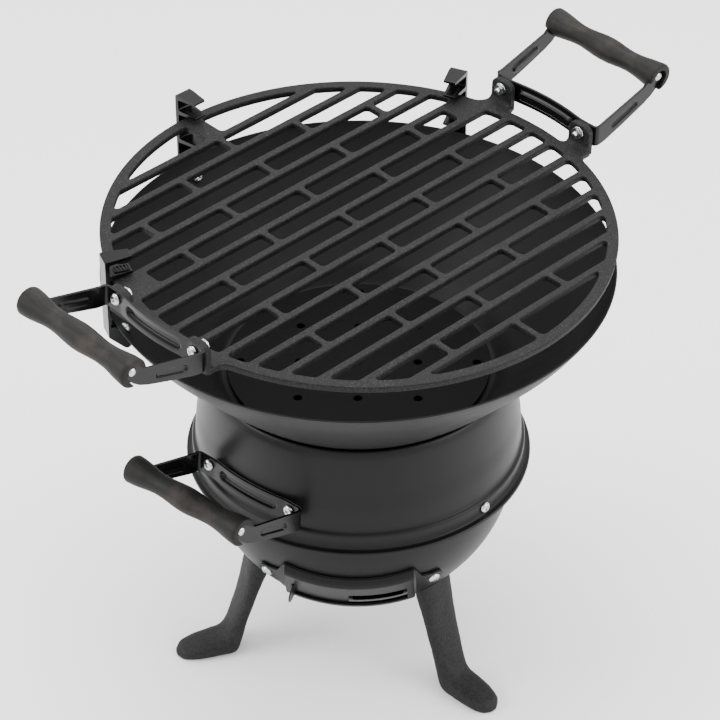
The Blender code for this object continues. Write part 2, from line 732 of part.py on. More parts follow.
def make_support(number, azimuth, lift, finish):
    stand = Matrix(((1, 0, 0, 0), (0, 0, -1, 0), (0, 1, 0, 0), (0, 0, 0, 1)))
    place = around_z(azimuth)
    name = f"grate_support_{number}"
    outline = support_outline(lift)
    support = add_object(name, prism(outline, -0.0065, 0.0065, stand), finish, None, place)
    foot = bmesh.new()
    add_prism(foot, support_foot(), -0.0065, 0.0065, stand)
    boolean(support, foot, "UNION", name + "_foot")
    trims = bmesh.new()
    for side in (-1, 1):
        wedge = [(SUPPORT_OUTER - 0.004, side * 0.0066), (0.155, side * 0.0066), (0.155, side * 0.0030)]
        add_prism(trims, wedge[::side], 0.330, 0.39)
    boolean(support, trims, "DIFFERENCE", name + "_taper")
    hole = bmesh.new()
    spot = Vector((SUPPORT_SCREW[0], 0, SUPPORT_SCREW[1]))
    out = Vector((SUPPORT_NORMAL.x, 0, SUPPORT_NORMAL.y))
    add_cylinder(hole, spot - out * 0.004, spot + out * 0.008, BOLT_HOLE)
    boolean(support, hole, "DIFFERENCE", name + "_hole")


def make_support_screws(finish):
    for number, azimuth in enumerate(SUPPORT_AZIMUTHS, 1):
        out = radial_direction(azimuth, SUPPORT_NORMAL)
        seat = radial(azimuth, *SUPPORT_SCREW) - out * (SHEET + FACET_SAG)
        add_screw(f"support_screw_{number}", seat, -out, 0.008, finish)


# ---------------------------------------------------------------- legs


LEG_STATIONS = [
    # outer point, inner point (radius and height in metres), half width
    ((0.0830, 0.0960), (0.0665, 0.0880), 0.0150),
    ((0.0860, 0.0800), (0.0700, 0.0760), 0.0146),
    ((0.0890, 0.0640), (0.0765, 0.0610), 0.0142),
    ((0.0930, 0.0470), (0.0830, 0.0430), 0.0138),
    ((0.0975, 0.0330), (0.0885, 0.0265), 0.0134),
    ((0.1015, 0.0225), (0.0925, 0.0100), 0.0130),
    ((0.1065, 0.0160), (0.0975, -0.0016), 0.0130),
    ((0.1150, 0.0125), (0.1120, -0.0016), 0.0134),
    ((0.1260, 0.0105), (0.1260, -0.0016), 0.0124),
    ((0.1360, 0.0085), (0.1365, -0.0016), 0.0094),
    ((0.1410, 0.0055), (0.1415, 0.0005), 0.0045),
]


def leg_mesh():
    """Loft rounded sections from the bowl down to the toe, with a flat sole."""
    mesh_data = bmesh.new()
    rings = []
    around = 12
    for outer, inner, half_width in LEG_STATIONS:
        middle = (Vector(outer) + Vector(inner)) / 2
        reach = (Vector(outer) - Vector(inner)) / 2
        ring = []
        for step in range(around):
            angle = 2 * math.pi * (step + 0.5) / around
            depth = math.copysign(abs(math.cos(angle)) ** 0.6, math.cos(angle))
            width = math.copysign(abs(math.sin(angle)) ** 0.6, math.sin(angle))
            spot = middle + reach * depth
            ring.append(mesh_data.verts.new((spot.x, half_width * width, max(0.0, spot.y))))
        rings.append(ring)
    for first, second in zip(rings, rings[1:]):
        for step in range(around):
            after = (step + 1) % around
            mesh_data.faces.new((first[step], first[after], second[after], second[step]))
    mesh_data.faces.new(rings[0][::-1])
    mesh_data.faces.new(rings[-1])
    return mesh_data


def ball_outline(clearance):
    """Ball a little larger than the lower bowl, for cutting what lies against it."""
    radius = SPHERE_RADIUS + clearance
    angles = [math.pi * (i / 18 - 0.5) for i in range(19)]
    outline = [(radius * math.cos(a), -radius * math.sin(a)) for a in angles]
    outline[0] = (0.0, radius)
    outline[-1] = (0.0, -radius)
    return outline


def make_legs(iron, zinc):
    for number, azimuth in enumerate(LEG_AZIMUTHS, 1):
        name = f"leg_{number}"
        leg = add_object(name, leg_mesh(), iron, None, around_z(azimuth))
        place = around_z(-azimuth) @ Matrix.Translation((0, 0, SPHERE_CENTRE))
        boolean(leg, lathe(ball_outline(FACET_SAG), SEGMENTS, place), "DIFFERENCE", name + "_seat")
        hole = bmesh.new()
        centre = Vector((0, 0, SPHERE_CENTRE))
        out = Vector((math.cos(LEG_BOLT_LATITUDE), 0, -math.sin(LEG_BOLT_LATITUDE)))
        add_cylinder(hole, centre + out * 0.110, centre + out * 0.1235, BOLT_HOLE)
        boolean(leg, hole, "DIFFERENCE", name + "_bolt_hole")
        out = around_z(azimuth).to_3x3() @ out
        seat = centre + out * (SPHERE_RADIUS - SHEET - 0.0011)
        add_screw(f"leg_bolt_{number}", seat, -out, 0.010, zinc)


# ---------------------------------------------------------------- vent


def ear_outline():
    """Developed outline of one vent ear, as (angle in degrees, height)."""
    centre = VENT_SCREW_ANGLE
    to_degrees = 180 / math.pi / 0.1145
    end = [(centre + EAR_EYE * to_degrees * math.cos(a), VENT_SCREW_HEIGHT + EAR_EYE * math.sin(a))
           for a in [math.radians(d) for d in (-90, -45, 0, 45, 90)]]
    root = VENT_HALF_ANGLE - 0.25
    neck = VENT_HALF_ANGLE + 1.8
    low = (neck, VENT_SCREW_HEIGHT - 0.0105)
    high = (neck, VENT_SCREW_HEIGHT + 0.0105)
    return [(root, VENT_SCREW_HEIGHT - 0.0140), low] + end + [high, (root, VENT_SCREW_HEIGHT + 0.0140)]


def add_curved_plate(mesh_data, outline, inner, outer, side):
    """A plate that lies on a cylinder, from a developed (degrees, height) outline."""
    layers = []
    for radius in (inner, outer):
        layer = []
        for degrees, height in outline:
            angle = math.radians(side * degrees)
            lean = math.sqrt(max(0.0, 1 - (height / radius) ** 2))
            spot = Vector((radius * lean * math.cos(angle), radius * lean * math.sin(angle), height))
            layer.append(mesh_data.verts.new(spot))
        layers.append(layer)
    low, high = layers
    centre_low = mesh_data.verts.new(sum((v.co for v in low), Vector()).normalized() * inner)
    centre_high = mesh_data.verts.new(sum((v.co for v in high), Vector()).normalized() * outer)
    for index in range(len(low)):
        after = (index + 1) % len(low)
        mesh_data.faces.new((low[index], low[after], centre_low))
        mesh_data.faces.new((high[after], high[index], centre_high))
        mesh_data.faces.new((low[after], low[index], high[index], high[after]))


def make_vent_frame(finish, parent):
    inner = SPHERE_RADIUS - 0.004
    strip = band(inner, VENT_INNER + SHEET, -VENT_HALF_ANGLE, VENT_HALF_ANGLE, 8)
    frame = add_object("vent_frame", prism(strip, VENT_LOW, VENT_HIGH), finish, parent)
    hollow = bmesh.new()
    cut = VENT_HALF_ANGLE - 0.6
    add_prism(hollow, band(0.09, VENT_INNER, -cut, cut, 8), VENT_LOW + SHEET, VENT_HIGH - SHEET)
    boolean(frame, hollow, "DIFFERENCE", "vent_hollow")
    boolean(frame, lathe(ball_outline(2 * FACET_SAG)), "DIFFERENCE", "vent_seat")
    opening = band(0.11, 0.125, -WINDOW_HALF_ANGLE, WINDOW_HALF_ANGLE, 6)
    window = prism(opening, WINDOW_BOTTOM, WINDOW_TOP)
    boolean(frame, window, "DIFFERENCE", "vent_window")
    ears = bmesh.new()
    for side in (-1, 1):
        add_curved_plate(ears, ear_outline(), EAR_SEAT, EAR_SEAT + SHEET, side)
    boolean(frame, ears, "UNION", "vent_ears")
    holes = bmesh.new()
    for side in (-1, 1):
        out = vent_screw_direction(side)
        add_cylinder(holes, out * 0.110, out * 0.120, BOLT_HOLE)
    boolean(frame, holes, "DIFFERENCE", "vent_ear_holes")


def make_vent_door(finish, parent):
    strip = band(DOOR_INNER, DOOR_INNER + SHEET, DOOR_START, -0.2, 6)
    door = add_object("vent_door", prism(strip, DOOR_LOW, DOOR_HIGH), finish, parent)
    tab = prism(band(DOOR_INNER + 0.0004, 0.1275, -19.9, -19.3, 1), -0.0110, 0.0062)
    boolean(door, tab, "UNION", "vent_door_tab")


def make_vent_fasteners(finish, parent):
    for number, side in enumerate((-1, 1), 1):
        out = vent_screw_direction(side)
        seat = out * (EAR_SEAT + SHEET + GAP)
        add_screw(f"vent_screw_{number}", seat, out, 0.0085, finish, parent)
        back = out * (SPHERE_RADIUS - SHEET - FACET_SAG - GAP)
        add_nut(f"vent_nut_{number}", back, -out, finish, parent)


# ---------------------------------------------------------------- assembly


def clear_scene():
    for item in list(bpy.data.objects):
        bpy.data.objects.remove(item, do_unlink=True)


def make_finishes():
    return {
        "iron": material("cast_iron", (0.045, 0.044, 0.046), 0.62, 0.35),
        "satin": material("satin_black", (0.032, 0.032, 0.034), 0.42, 0.1),
        "gloss": material("gloss_black", (0.012, 0.012, 0.013), 0.25, 0.1),
        "grip": material("black_grip", (0.030, 0.026, 0.024), 0.6, 0.0),
        "zinc": material("zinc", (0.75, 0.76, 0.78), 0.3, 1.0),
    }


def main():
    clear_scene()
    finishes = make_finishes()
    make_fire_bowl(finishes["satin"])
    make_upper_shell(finishes["satin"])
    make_lower_bowl(finishes["satin"])
    make_belly_screws(finishes["zinc"])
    make_bowl_bolts(finishes["zinc"])
    make_legs(finishes["iron"], finishes["zinc"])
    for number, (azimuth, lift) in enumerate(zip(SUPPORT_AZIMUTHS, SUPPORT_LIFTS), 1):
        make_support(number, azimuth, lift, finishes["gloss"])
    make_support_screws(finishes["zinc"])

    plate_frame = add_empty("plate_axis", Matrix.Translation((0, 0, PLATE_BOTTOM)))
    make_charcoal_plate(finishes["satin"], plate_frame)

    tilt = Matrix.Rotation(GRATE_TILT, 4, "X")
    grate_frame = add_empty("grate_axis", Matrix.Translation((0, GRATE_SHIFT, GRATE_TOP)) @ tilt)
    make_cooking_grate(finishes["iron"], grate_frame)
    ear_face = EAR_INNER + EAR_THICKNESS + GAP
    for name, turn, pitch in (("right", 0, 0.0), ("left", 180, LEFT_HANDLE_PITCH)):
        seat = Matrix.Translation((ear_face, 0, BOLT_HEIGHT)) @ Matrix.Rotation(-pitch, 4, "Y")
        make_handle(f"{name}_handle", finishes, grate_frame, around_z(turn) @ seat, EAR_THICKNESS + 2 * GAP)
    make_handle("body_handle", finishes, None, body_handle_place(), BODY_HANDLE_WALL)

    vent_axis = add_empty("vent_axis", vent_matrix())
    make_vent_frame(finishes["satin"], vent_axis)
    make_vent_door(finishes["satin"], vent_axis)
    make_vent_fasteners(finishes["zinc"], vent_axis)


main()
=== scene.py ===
"""Looks of the barrel fire pit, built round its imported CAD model. Lengths are in metres."""

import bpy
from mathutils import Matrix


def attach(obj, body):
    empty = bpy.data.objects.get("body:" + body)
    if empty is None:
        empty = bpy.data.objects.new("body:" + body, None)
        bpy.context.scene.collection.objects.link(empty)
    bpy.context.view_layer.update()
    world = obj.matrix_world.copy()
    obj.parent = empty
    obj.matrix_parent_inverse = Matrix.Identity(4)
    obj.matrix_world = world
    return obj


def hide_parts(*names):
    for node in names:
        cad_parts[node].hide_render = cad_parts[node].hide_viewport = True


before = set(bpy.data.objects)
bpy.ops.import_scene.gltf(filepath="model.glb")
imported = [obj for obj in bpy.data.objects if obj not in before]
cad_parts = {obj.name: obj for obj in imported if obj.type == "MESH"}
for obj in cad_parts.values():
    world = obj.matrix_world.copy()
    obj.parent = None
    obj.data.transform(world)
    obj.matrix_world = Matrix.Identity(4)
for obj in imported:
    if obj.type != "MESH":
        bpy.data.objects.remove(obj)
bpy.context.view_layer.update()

import math

import bmesh
import bpy
from mathutils import Matrix, Vector, noise

# Driving dimensions. Places and main sizes agree with the CAD model's; corners and edges are finer.
R = 0.1775  # radius of the cooking grate
GRATE_TOP = 0.363
SHEET = 0.0012
GRATE_TILT = math.radians(1.6)  # the grate droops to the front
GRATE_SHIFT = -0.001
GRATE_THICKNESS = 0.0052
RING_INNER = 0.955 * R
ROW_PITCH = 0.116 * R
BAR_WIDTH = 0.032 * R
BRIDGE_PITCH = 0.609 * R
BRIDGE_WIDTH = 0.0275 * R
BACK_PAD = 0.08 * R
SIDE_PAD_ROW = 5
SIDE_PAD_X = 0.805 * R
SLOT_CORNER = 0.0029
ROWS = 16
EAR_INNER = 0.1795
EAR_THICKNESS = 0.005
EAR_WIDTH = 0.0195
EAR_HEIGHT = 0.0178
EAR_SUNK = 0.0038  # how far an ear reaches into the grate
EAR_FILLET = 0.0040
EAR_CORNER = 0.0062
EAR_EDGE = 0.0010
BOLT_SPACING = 0.0755
BOLT_HEIGHT = 0.0118
ARM_OFFSET = 0.0482
STRIP = 0.002  # thickness of the handle's strip
STRIP_LOW = -0.0092
STRIP_HIGH = 0.0056
STRIP_BOW = 0.0032
EMBOSS_LEVEL = -0.0018
BOWED_HALF = BOLT_SPACING / 2 - 0.0055
GRIP_REACH = 0.064
GRIP_RISE = 0.0215
GRIP_LENGTH = 0.104
GRIP_RADIUS = 0.0105
LEFT_HANDLE_PITCH = math.radians(1.5)
BODY_HANDLE_X = 0.1138
BODY_HANDLE_LEVEL = 0.2010
BODY_HANDLE_AZIMUTH = 184.5
BODY_HANDLE_PITCH = math.radians(4.5)
BODY_HANDLE_WALL = 0.0088  # from the strip to the nuts behind the curved shell
SUPPORT_AZIMUTHS = (22.0, 89.3, 156.5)
SUPPORT_LIFTS = (-0.0004, 0.0025, -0.003)  # the teeth follow the droop of the grate
LEG_AZIMUTHS = (31.0, 152.0, 270.0)
BELLY_AZIMUTHS = (33.0, 153.0, 273.0)
SPHERE_RADIUS = 0.64 * R
SPHERE_CENTRE = GRATE_TOP - 1.098 * R
VENT_AZIMUTH = math.radians(221.9)
VENT_TILT = math.radians(28.5)
VENT_SCREW_ANGLE = 30.8
VENT_SCREW_HEIGHT = 0.0015
GAP = 0.0003  # between a fastener and what it clamps
PLATE_RADIUS = 0.527 * R
PLATE_BOTTOM = GRATE_TOP - 0.6765 * R
PLATE_THICKNESS = 0.0015
BELLY_SCREW_LEVEL = GRATE_TOP - 1.043 * R
BOWL_BOLT_CIRCLE = 0.5 * R
LEG_BOLT_LATITUDE = math.radians(50.0)
SPIN_STEP = 37.0  # degrees between one screw's recess and the next
# Turns a flat outline upright: its x stays x, its y becomes z
UPRIGHT = Matrix(((1, 0, 0, 0), (0, 0, -1, 0), (0, 1, 0, 0), (0, 0, 0, 1)))


def level(ratio):
    return GRATE_TOP + ratio * R


def around_z(degrees):
    return Matrix.Rotation(math.radians(degrees), 4, "Z")


def radial(azimuth, radius, height):
    angle = math.radians(azimuth)
    return Vector((radius * math.cos(angle), radius * math.sin(angle), height))


def smooth(value):
    """Ease from 0 to 1 as value goes from 0 to 1."""
    t = min(1.0, max(0.0, value))
    return t * t * (3 - 2 * t)


# ---- materials


class Nodes:
    """Small helper that adds and links the nodes of one material."""

    def __init__(self, name):
        self.made = bpy.data.materials.new(name)
        self.made.use_nodes = True
        self.tree = self.made.node_tree
        self.shader = self.tree.nodes["Principled BSDF"]
        self.place = self.add("ShaderNodeTexCoord").outputs["Object"]

    def add(self, kind, **values):
        node = self.tree.nodes.new(kind)
        for key, value in values.items():
            if key in node.inputs:
                node.inputs[key].default_value = value
            else:
                setattr(node, key, value)
        return node

    def link(self, source, target):
        self.tree.links.new(source, target)

    def noise(self, scale, detail=4.0, rough=0.55, stretch=(1, 1, 1)):
        node = self.add("ShaderNodeTexNoise", Scale=scale, Detail=detail, Roughness=rough)
        if stretch != (1, 1, 1):
            spread = self.add("ShaderNodeMapping")
            spread.inputs["Scale"].default_value = stretch
            self.link(self.place, spread.inputs["Vector"])
            self.link(spread.outputs["Vector"], node.inputs["Vector"])
        else:
            self.link(self.place, node.inputs["Vector"])
        return node.outputs["Fac"]

    def ramp(self, source, stops):
        node = self.add("ShaderNodeValToRGB")
        band = node.color_ramp
        while len(band.elements) < len(stops):
            band.elements.new(0.5)
        for element, (place, colour) in zip(band.elements, stops):
            element.position = place
            element.color = colour if len(colour) == 4 else (*colour, 1.0)
        self.link(source, node.inputs["Fac"])
        return node.outputs["Color"]

    def span(self, source, low, high):
        node = self.add("ShaderNodeMapRange")
        node.inputs["To Min"].default_value = low
        node.inputs["To Max"].default_value = high
        self.link(source, node.inputs["Value"])
        return node.outputs["Result"]

    def mix(self, factor, first, second, mode="MIX"):
        node = self.add("ShaderNodeMix", data_type="RGBA", blend_type=mode)
        for source, socket in ((factor, 0), (first, 6), (second, 7)):
            if hasattr(source, "links"):
                self.link(source, node.inputs[socket])
            else:
                node.inputs[socket].default_value = source
        return node.outputs[2]

    def bump(self, source, strength, distance, under=None):
        node = self.add("ShaderNodeBump", Strength=strength, Distance=distance)
        self.link(source, node.inputs["Height"])
        if under is not None:
            self.link(under, node.inputs["Normal"])
        return node.outputs["Normal"]

    def finish(self, colour=None, roughness=None, normal=None, **values):
        for source, name in ((colour, "Base Color"), (roughness, "Roughness"), (normal, "Normal")):
            if source is not None:
                self.link(source, self.shader.inputs[name])
        for name, value in values.items():
            self.shader.inputs[name.replace("_", " ")].default_value = value
        return self.made


def grey(value, warm=0.0):
    return (value * (1 + warm), value, value * (1 - warm), 1.0)


def cast_iron():
    """Seasoned cast iron: gritty skin, lighter grains on the high spots."""
    n = Nodes("cast_iron")
    grit = n.noise(900.0, 3.0, 0.7)
    cloud = n.noise(45.0, 3.0, 0.5)
    grains = n.ramp(grit, [(0.38, grey(0.004)), (0.55, grey(0.009)), (0.70, grey(0.034))])
    tone = n.ramp(cloud, [(0.35, grey(0.82)), (0.65, grey(1.0))])
    colour = n.mix(1.0, grains, tone, "MULTIPLY")
    rough = n.span(cloud, 0.58, 0.72)
    coarse = n.bump(n.noise(420.0, 2.0, 0.6), 0.35, 0.0006)
    normal = n.bump(grit, 0.75, 0.0004, coarse)
    return n.finish(colour, rough, normal, Specular_IOR_Level=0.15)


def leg_iron():
    """Painted casting of the legs: pebbled skin under a matte coat."""
    n = Nodes("leg_iron")
    pebble = n.noise(520.0, 2.5, 0.55)
    cloud = n.noise(30.0, 2.0, 0.5)
    colour = n.ramp(pebble, [(0.35, grey(0.007)), (0.7, grey(0.016))])
    rough = n.span(cloud, 0.55, 0.66)
    normal = n.bump(pebble, 0.6, 0.0007)
    return n.finish(colour, rough, normal, Specular_IOR_Level=0.16)


def satin_paint(name, tone, rough_low, rough_high, shine=0.16):
    """Baked black paint with a faint orange peel and a little dust."""
    n = Nodes(name)
    cloud = n.noise(14.0, 3.0, 0.5)
    dust = n.noise(1300.0, 2.0, 0.6)
    base = n.ramp(cloud, [(0.3, grey(tone * 0.86)), (0.7, grey(tone * 1.1))])
    specks = n.ramp(dust, [(0.70, grey(0.0)), (0.80, grey(1.0))])
    colour = n.mix(specks, base, grey(tone * 2.6))
    rough = n.span(cloud, rough_low, rough_high)
    peel = n.bump(n.noise(520.0, 2.0, 0.5), 0.10, 0.0003)
    return n.finish(colour, rough, peel, Specular_IOR_Level=shine)


def gloss_black():
    """Glossy enamel of the strips and supports."""
    n = Nodes("gloss_black")
    cloud = n.noise(60.0, 3.0, 0.5)
    colour = n.ramp(cloud, [(0.3, grey(0.0015)), (0.7, grey(0.003))])
    rough = n.span(cloud, 0.16, 0.27)
    peel = n.bump(n.noise(700.0, 2.0, 0.5), 0.08, 0.0002)
    return n.finish(colour, rough, peel, Specular_IOR_Level=0.18)


def grip_finish():
    """Black-stained grip with long grain and pale brown wear."""
    n = Nodes("grip_wood")
    grain = n.noise(1.0, 5.0, 0.6, (620.0, 38.0, 620.0))
    patch = n.noise(38.0, 4.0, 0.6)
    base = n.ramp(grain, [(0.30, grey(0.003, 0.05)), (0.55, grey(0.006, 0.07)), (0.78, grey(0.012, 0.12))])
    wear = n.ramp(patch, [(0.52, grey(0.0)), (0.74, grey(0.75))])
    colour = n.mix(wear, base, (0.034, 0.026, 0.021, 1.0))
    rough = n.span(patch, 0.50, 0.68)
    normal = n.bump(grain, 0.35, 0.0004)
    return n.finish(colour, rough, normal, Specular_IOR_Level=0.16)


def zinc_plate():
    """Bright zinc plate with fine scratches."""
    n = Nodes("zinc")
    scratch = n.noise(900.0, 4.0, 0.7)
    cloud = n.noise(160.0, 2.0, 0.5)
    colour = n.ramp(cloud, [(0.3, (0.36, 0.37, 0.39)), (0.7, (0.62, 0.62, 0.61))])
    rough = n.span(scratch, 0.16, 0.38)
    normal = n.bump(scratch, 0.12, 0.0002)
    return n.finish(colour, rough, normal, Metallic=1.0)


# ---- mesh helpers


def tidy_normals(mesh_data):
    bmesh.ops.remove_doubles(mesh_data, verts=mesh_data.verts, dist=1e-7)
    bmesh.ops.recalc_face_normals(mesh_data, faces=mesh_data.faces)


def add_object(name, data):
    made = bpy.data.objects.new(name, data)
    bpy.context.scene.collection.objects.link(made)
    return made


def shade(mesh, finish, angle):
    """One material for the whole mesh, smooth but for the edges sharper than the angle."""
    mesh.materials.clear()
    mesh.materials.append(finish)
    for face in mesh.polygons:
        face.material_index = 0
    mesh.shade_smooth()
    mesh.set_sharp_from_angle(angle=math.radians(angle))


def to_object(name, mesh_data, finish, matrix=None, angle=32):
    """Turn a bmesh into an object at the origin with its place in its mesh."""
    tidy_normals(mesh_data)
    mesh = bpy.data.meshes.new(name)
    mesh_data.to_mesh(mesh)
    mesh_data.free()
    if matrix is not None:
        mesh.transform(matrix)
    shade(mesh, finish, angle)
    return add_object(name, mesh)


def bake(made, angle=32):
    """Replace a piece's mesh by what its modifiers make of it."""
    graph = bpy.context.evaluated_depsgraph_get()
    finish = made.data.materials[0]
    mesh = bpy.data.meshes.new_from_object(made.evaluated_get(graph))
    made.modifiers.clear()
    made.data = mesh
    shade(mesh, finish, angle)


def combine(made, mesh_data, operation, angle=32):
    """Cut or join another closed shape for good."""
    tool = to_object("tool", mesh_data, made.data.materials[0])
    step = made.modifiers.new("combine", "BOOLEAN")
    step.object = tool
    step.operation = operation
    step.solver = "EXACT"
    bake(made, angle)
    bpy.data.objects.remove(tool, do_unlink=True)


def soften(made, width, segments=2, limit=30):
    """Round the hard edges, keeping the flats flat."""
    step = made.modifiers.new("bevel", "BEVEL")
    step.width = width
    step.segments = segments
    step.limit_method = "ANGLE"
    step.angle_limit = math.radians(limit)
    step.use_clamp_overlap = True
    bake(made, 50)
    weigh(made)


def weigh(made):
    step = made.modifiers.new("weighted", "WEIGHTED_NORMAL")
    step.keep_sharp = True


def lathe(outline, segments, matrix=None, wave=None):
    """Turn a closed (radius, height) outline about Z. Points at radius zero become poles."""
    mesh_data = bmesh.new()
    matrix = matrix or Matrix.Identity(4)
    rings = []
    for radius, height in outline:
        if radius < 1e-7:
            rings.append([mesh_data.verts.new(matrix @ Vector((0, 0, height)))])
            continue
        ring = []
        for step in range(segments):
            angle = 2 * math.pi * step / segments
            spot = Vector((radius * math.cos(angle), radius * math.sin(angle), height))
            if wave:
                spot = wave(spot)
            ring.append(mesh_data.verts.new(matrix @ spot))
        rings.append(ring)
    for first, second in zip(rings, rings[1:] + rings[:1]):
        if len(first) == 1 and len(second) == 1:
            continue
        for step in range(segments):
            after = (step + 1) % segments
            corners = [first[step % len(first)], first[after % len(first)]]
            corners += [second[after % len(second)], second[step % len(second)]]
            mesh_data.faces.new(list(dict.fromkeys(corners)))
    return mesh_data


def curve_through(points, steps):
    """Smooth line through the points (Catmull-Rom)."""
    points = [Vector(p) for p in points]
    ends = [2 * points[0] - points[1]] + points + [2 * points[-1] - points[-2]]
    line = []
    for i in range(1, len(ends) - 2):
        a, b, c, d = ends[i - 1:i + 3]
        for step in range(steps):
            t = step / steps
            line.append(0.5 * (2 * b + (c - a) * t + (2 * a - 5 * b + 4 * c - d) * t * t
                               + (3 * b - a - 3 * c + d) * t ** 3))
    line.append(points[-1])
    return line


def sheet_outline(points, thickness=SHEET):
    """Closed section of a pressed sheet, its outer side on the points and both rims rounded."""
    points = [Vector(p) for p in points]
    inner = []
    for i, here in enumerate(points):
        along = (points[min(i + 1, len(points) - 1)] - points[max(i - 1, 0)]).normalized()
        inner.append(here + Vector((along.y, -along.x)) * thickness)
    first = (points[0] - points[1]).normalized() * thickness * 0.35
    last = (points[-1] - points[-2]).normalized() * thickness * 0.35
    start = (points[0] + inner[0]) / 2 + first
    end = (points[-1] + inner[-1]) / 2 + last
    outline = [start] + points + [end] + inner[::-1]
    return [(max(0.0, p.x), p.y) for p in outline]


def add_prism(mesh_data, outline, low, high, matrix=None):
    matrix = matrix or Matrix.Identity(4)
    bottom = [mesh_data.verts.new(matrix @ Vector((x, y, low))) for x, y in outline]
    top = [mesh_data.verts.new(matrix @ Vector((x, y, high))) for x, y in outline]
    mesh_data.faces.new(bottom[::-1])
    mesh_data.faces.new(top)
    for i in range(len(outline)):
        after = (i + 1) % len(outline)
        mesh_data.faces.new((bottom[i], bottom[after], top[after], top[i]))


def prism(outline, low, high, matrix=None):
    mesh_data = bmesh.new()
    add_prism(mesh_data, outline, low, high, matrix)
    return mesh_data


def arc(radius, start, end, steps, centre=(0.0, 0.0)):
    angles = [math.radians(start + (end - start) * i / steps) for i in range(steps + 1)]
    return [(centre[0] + radius * math.cos(a), centre[1] + radius * math.sin(a)) for a in angles]


def circle(x, y, radius, segments):
    return arc(radius, 0, 360 - 360 / segments, segments - 1, (x, y))


def rectangle(left, right, low, high, *corner):
    """Corners of a rectangle, with a radius for each where one is given."""
    return [(left, low, *corner), (right, low, *corner), (right, high, *corner), (left, high, *corner)]


def rounded(corners, steps=5):
    """Round an outline's corners; a corner is (x, y) to keep or (x, y, radius) to round."""
    result = []
    count = len(corners)
    for i, corner in enumerate(corners):
        here = Vector(corner[:2])
        if len(corner) == 2 or corner[2] <= 0:
            result.append(tuple(here))
            continue
        arms = []
        for other in (corners[i - 1], corners[(i + 1) % count]):
            share = 0.49 if len(other) == 3 and other[2] > 0 else 0.96
            way = Vector(other[:2]) - here
            arms.append((way.normalized(), way.length * share))
        half = arms[0][0].angle(arms[1][0]) / 2
        reach = min(corner[2] / math.tan(half), arms[0][1], arms[1][1])
        size = reach * math.tan(half)
        middle = (arms[0][0] + arms[1][0]).normalized()
        centre = here + middle * (size / math.sin(half))
        start = here + arms[0][0] * reach - centre
        end = here + arms[1][0] * reach - centre
        sweep = start.angle_signed(end)
        for step in range(steps + 1):
            turned = start.copy()
            turned.rotate(Matrix.Rotation(-sweep * step / steps, 2))
            result.append(tuple(centre + turned))
    return result


def inset(outline, amount):
    """Move an outline sideways; positive is to the left of its direction."""
    result = []
    count = len(outline)
    for i in range(count):
        before = Vector(outline[i - 1])
        here = Vector(outline[i])
        after = Vector(outline[(i + 1) % count])
        first = (here - before).normalized()
        second = (after - here).normalized()
        normal = Vector((-first.y - second.y, first.x + second.x)).normalized()
        stretch = 1 / max(0.4, normal.dot(Vector((-first.y, first.x))))
        result.append(tuple(here + normal * amount * stretch))
    return result


def area(outline):
    return sum(a[0] * b[1] - b[0] * a[1] for a, b in zip(outline, outline[1:] + outline[:1])) / 2


def facing(outline, sign):
    return outline if area(outline) * sign > 0 else outline[::-1]


def plate(outer, holes, profile):
    """Plate with holes. The profile lists (inset, height) of its edges from the bottom to the top."""
    mesh_data = bmesh.new()
    loops = [facing(outer, 1)] + [facing(hole, -1) for hole in holes]
    ends = ([], [])
    for loop in loops:
        rings = []
        for amount, height in profile:
            rings.append([mesh_data.verts.new((x, y, height)) for x, y in inset(loop, amount)])
        for low, high in zip(rings, rings[1:]):
            for i in range(len(loop)):
                after = (i + 1) % len(loop)
                mesh_data.faces.new((low[i], low[after], high[after], high[i]))
        ends[0].append(rings[0])
        ends[1].append(rings[-1])
    for side in ends:
        edges = []
        for ring in side:
            for first, second in zip(ring, ring[1:] + ring[:1]):
                edge = mesh_data.edges.get((first, second)) or mesh_data.edges.new((first, second))
                edges.append(edge)
        bmesh.ops.triangle_fill(mesh_data, use_beauty=True, edges=edges)
    return mesh_data


def sheet(points, normals, thickness, keep=None, rim=0.0003):
    """Thin shell over a grid of points, with rounded rims round its border and its openings."""
    mesh_data = bmesh.new()
    columns, rows = len(points), len(points[0])
    directed = set()
    quads = []
    for i in range(columns - 1):
        for j in range(rows - 1):
            if keep and not keep(i, j):
                continue
            corners = [(i, j), (i + 1, j), (i + 1, j + 1), (i, j + 1)]
            quads.append(corners)
            directed.update(zip(corners, corners[1:] + corners[:1]))
    border = [(a, b) for a, b in directed if (b, a) not in directed]
    outward = {}
    for a, b in border:
        along = points[b[0]][b[1]] - points[a[0]][a[1]]
        for spot in (a, b):
            side = along.cross(normals[spot[0]][spot[1]]).normalized()
            outward[spot] = outward.get(spot, Vector()) + side
    top, bottom, rings = {}, {}, {}
    for spot in sorted({corner for quad in quads for corner in quad}):
        here = points[spot[0]][spot[1]]
        half = normals[spot[0]][spot[1]] * thickness / 2
        if spot in outward:
            side = outward[spot].normalized() * rim
            marks = [(-1, 1), (-0.3, 0.75), (0, 0), (-0.3, -0.75), (-1, -1)]
            rings[spot] = [mesh_data.verts.new(here + side * a + half * b) for a, b in marks]
            top[spot], bottom[spot] = rings[spot][0], rings[spot][-1]
        else:
            top[spot] = mesh_data.verts.new(here + half)
            bottom[spot] = mesh_data.verts.new(here - half)
    for quad in quads:
        mesh_data.faces.new([top[corner] for corner in quad])
        mesh_data.faces.new([bottom[corner] for corner in reversed(quad)])
    for a, b in border:
        for k in range(4):
            mesh_data.faces.new((rings[a][k], rings[a][k + 1], rings[b][k + 1], rings[b][k]))
    return mesh_data


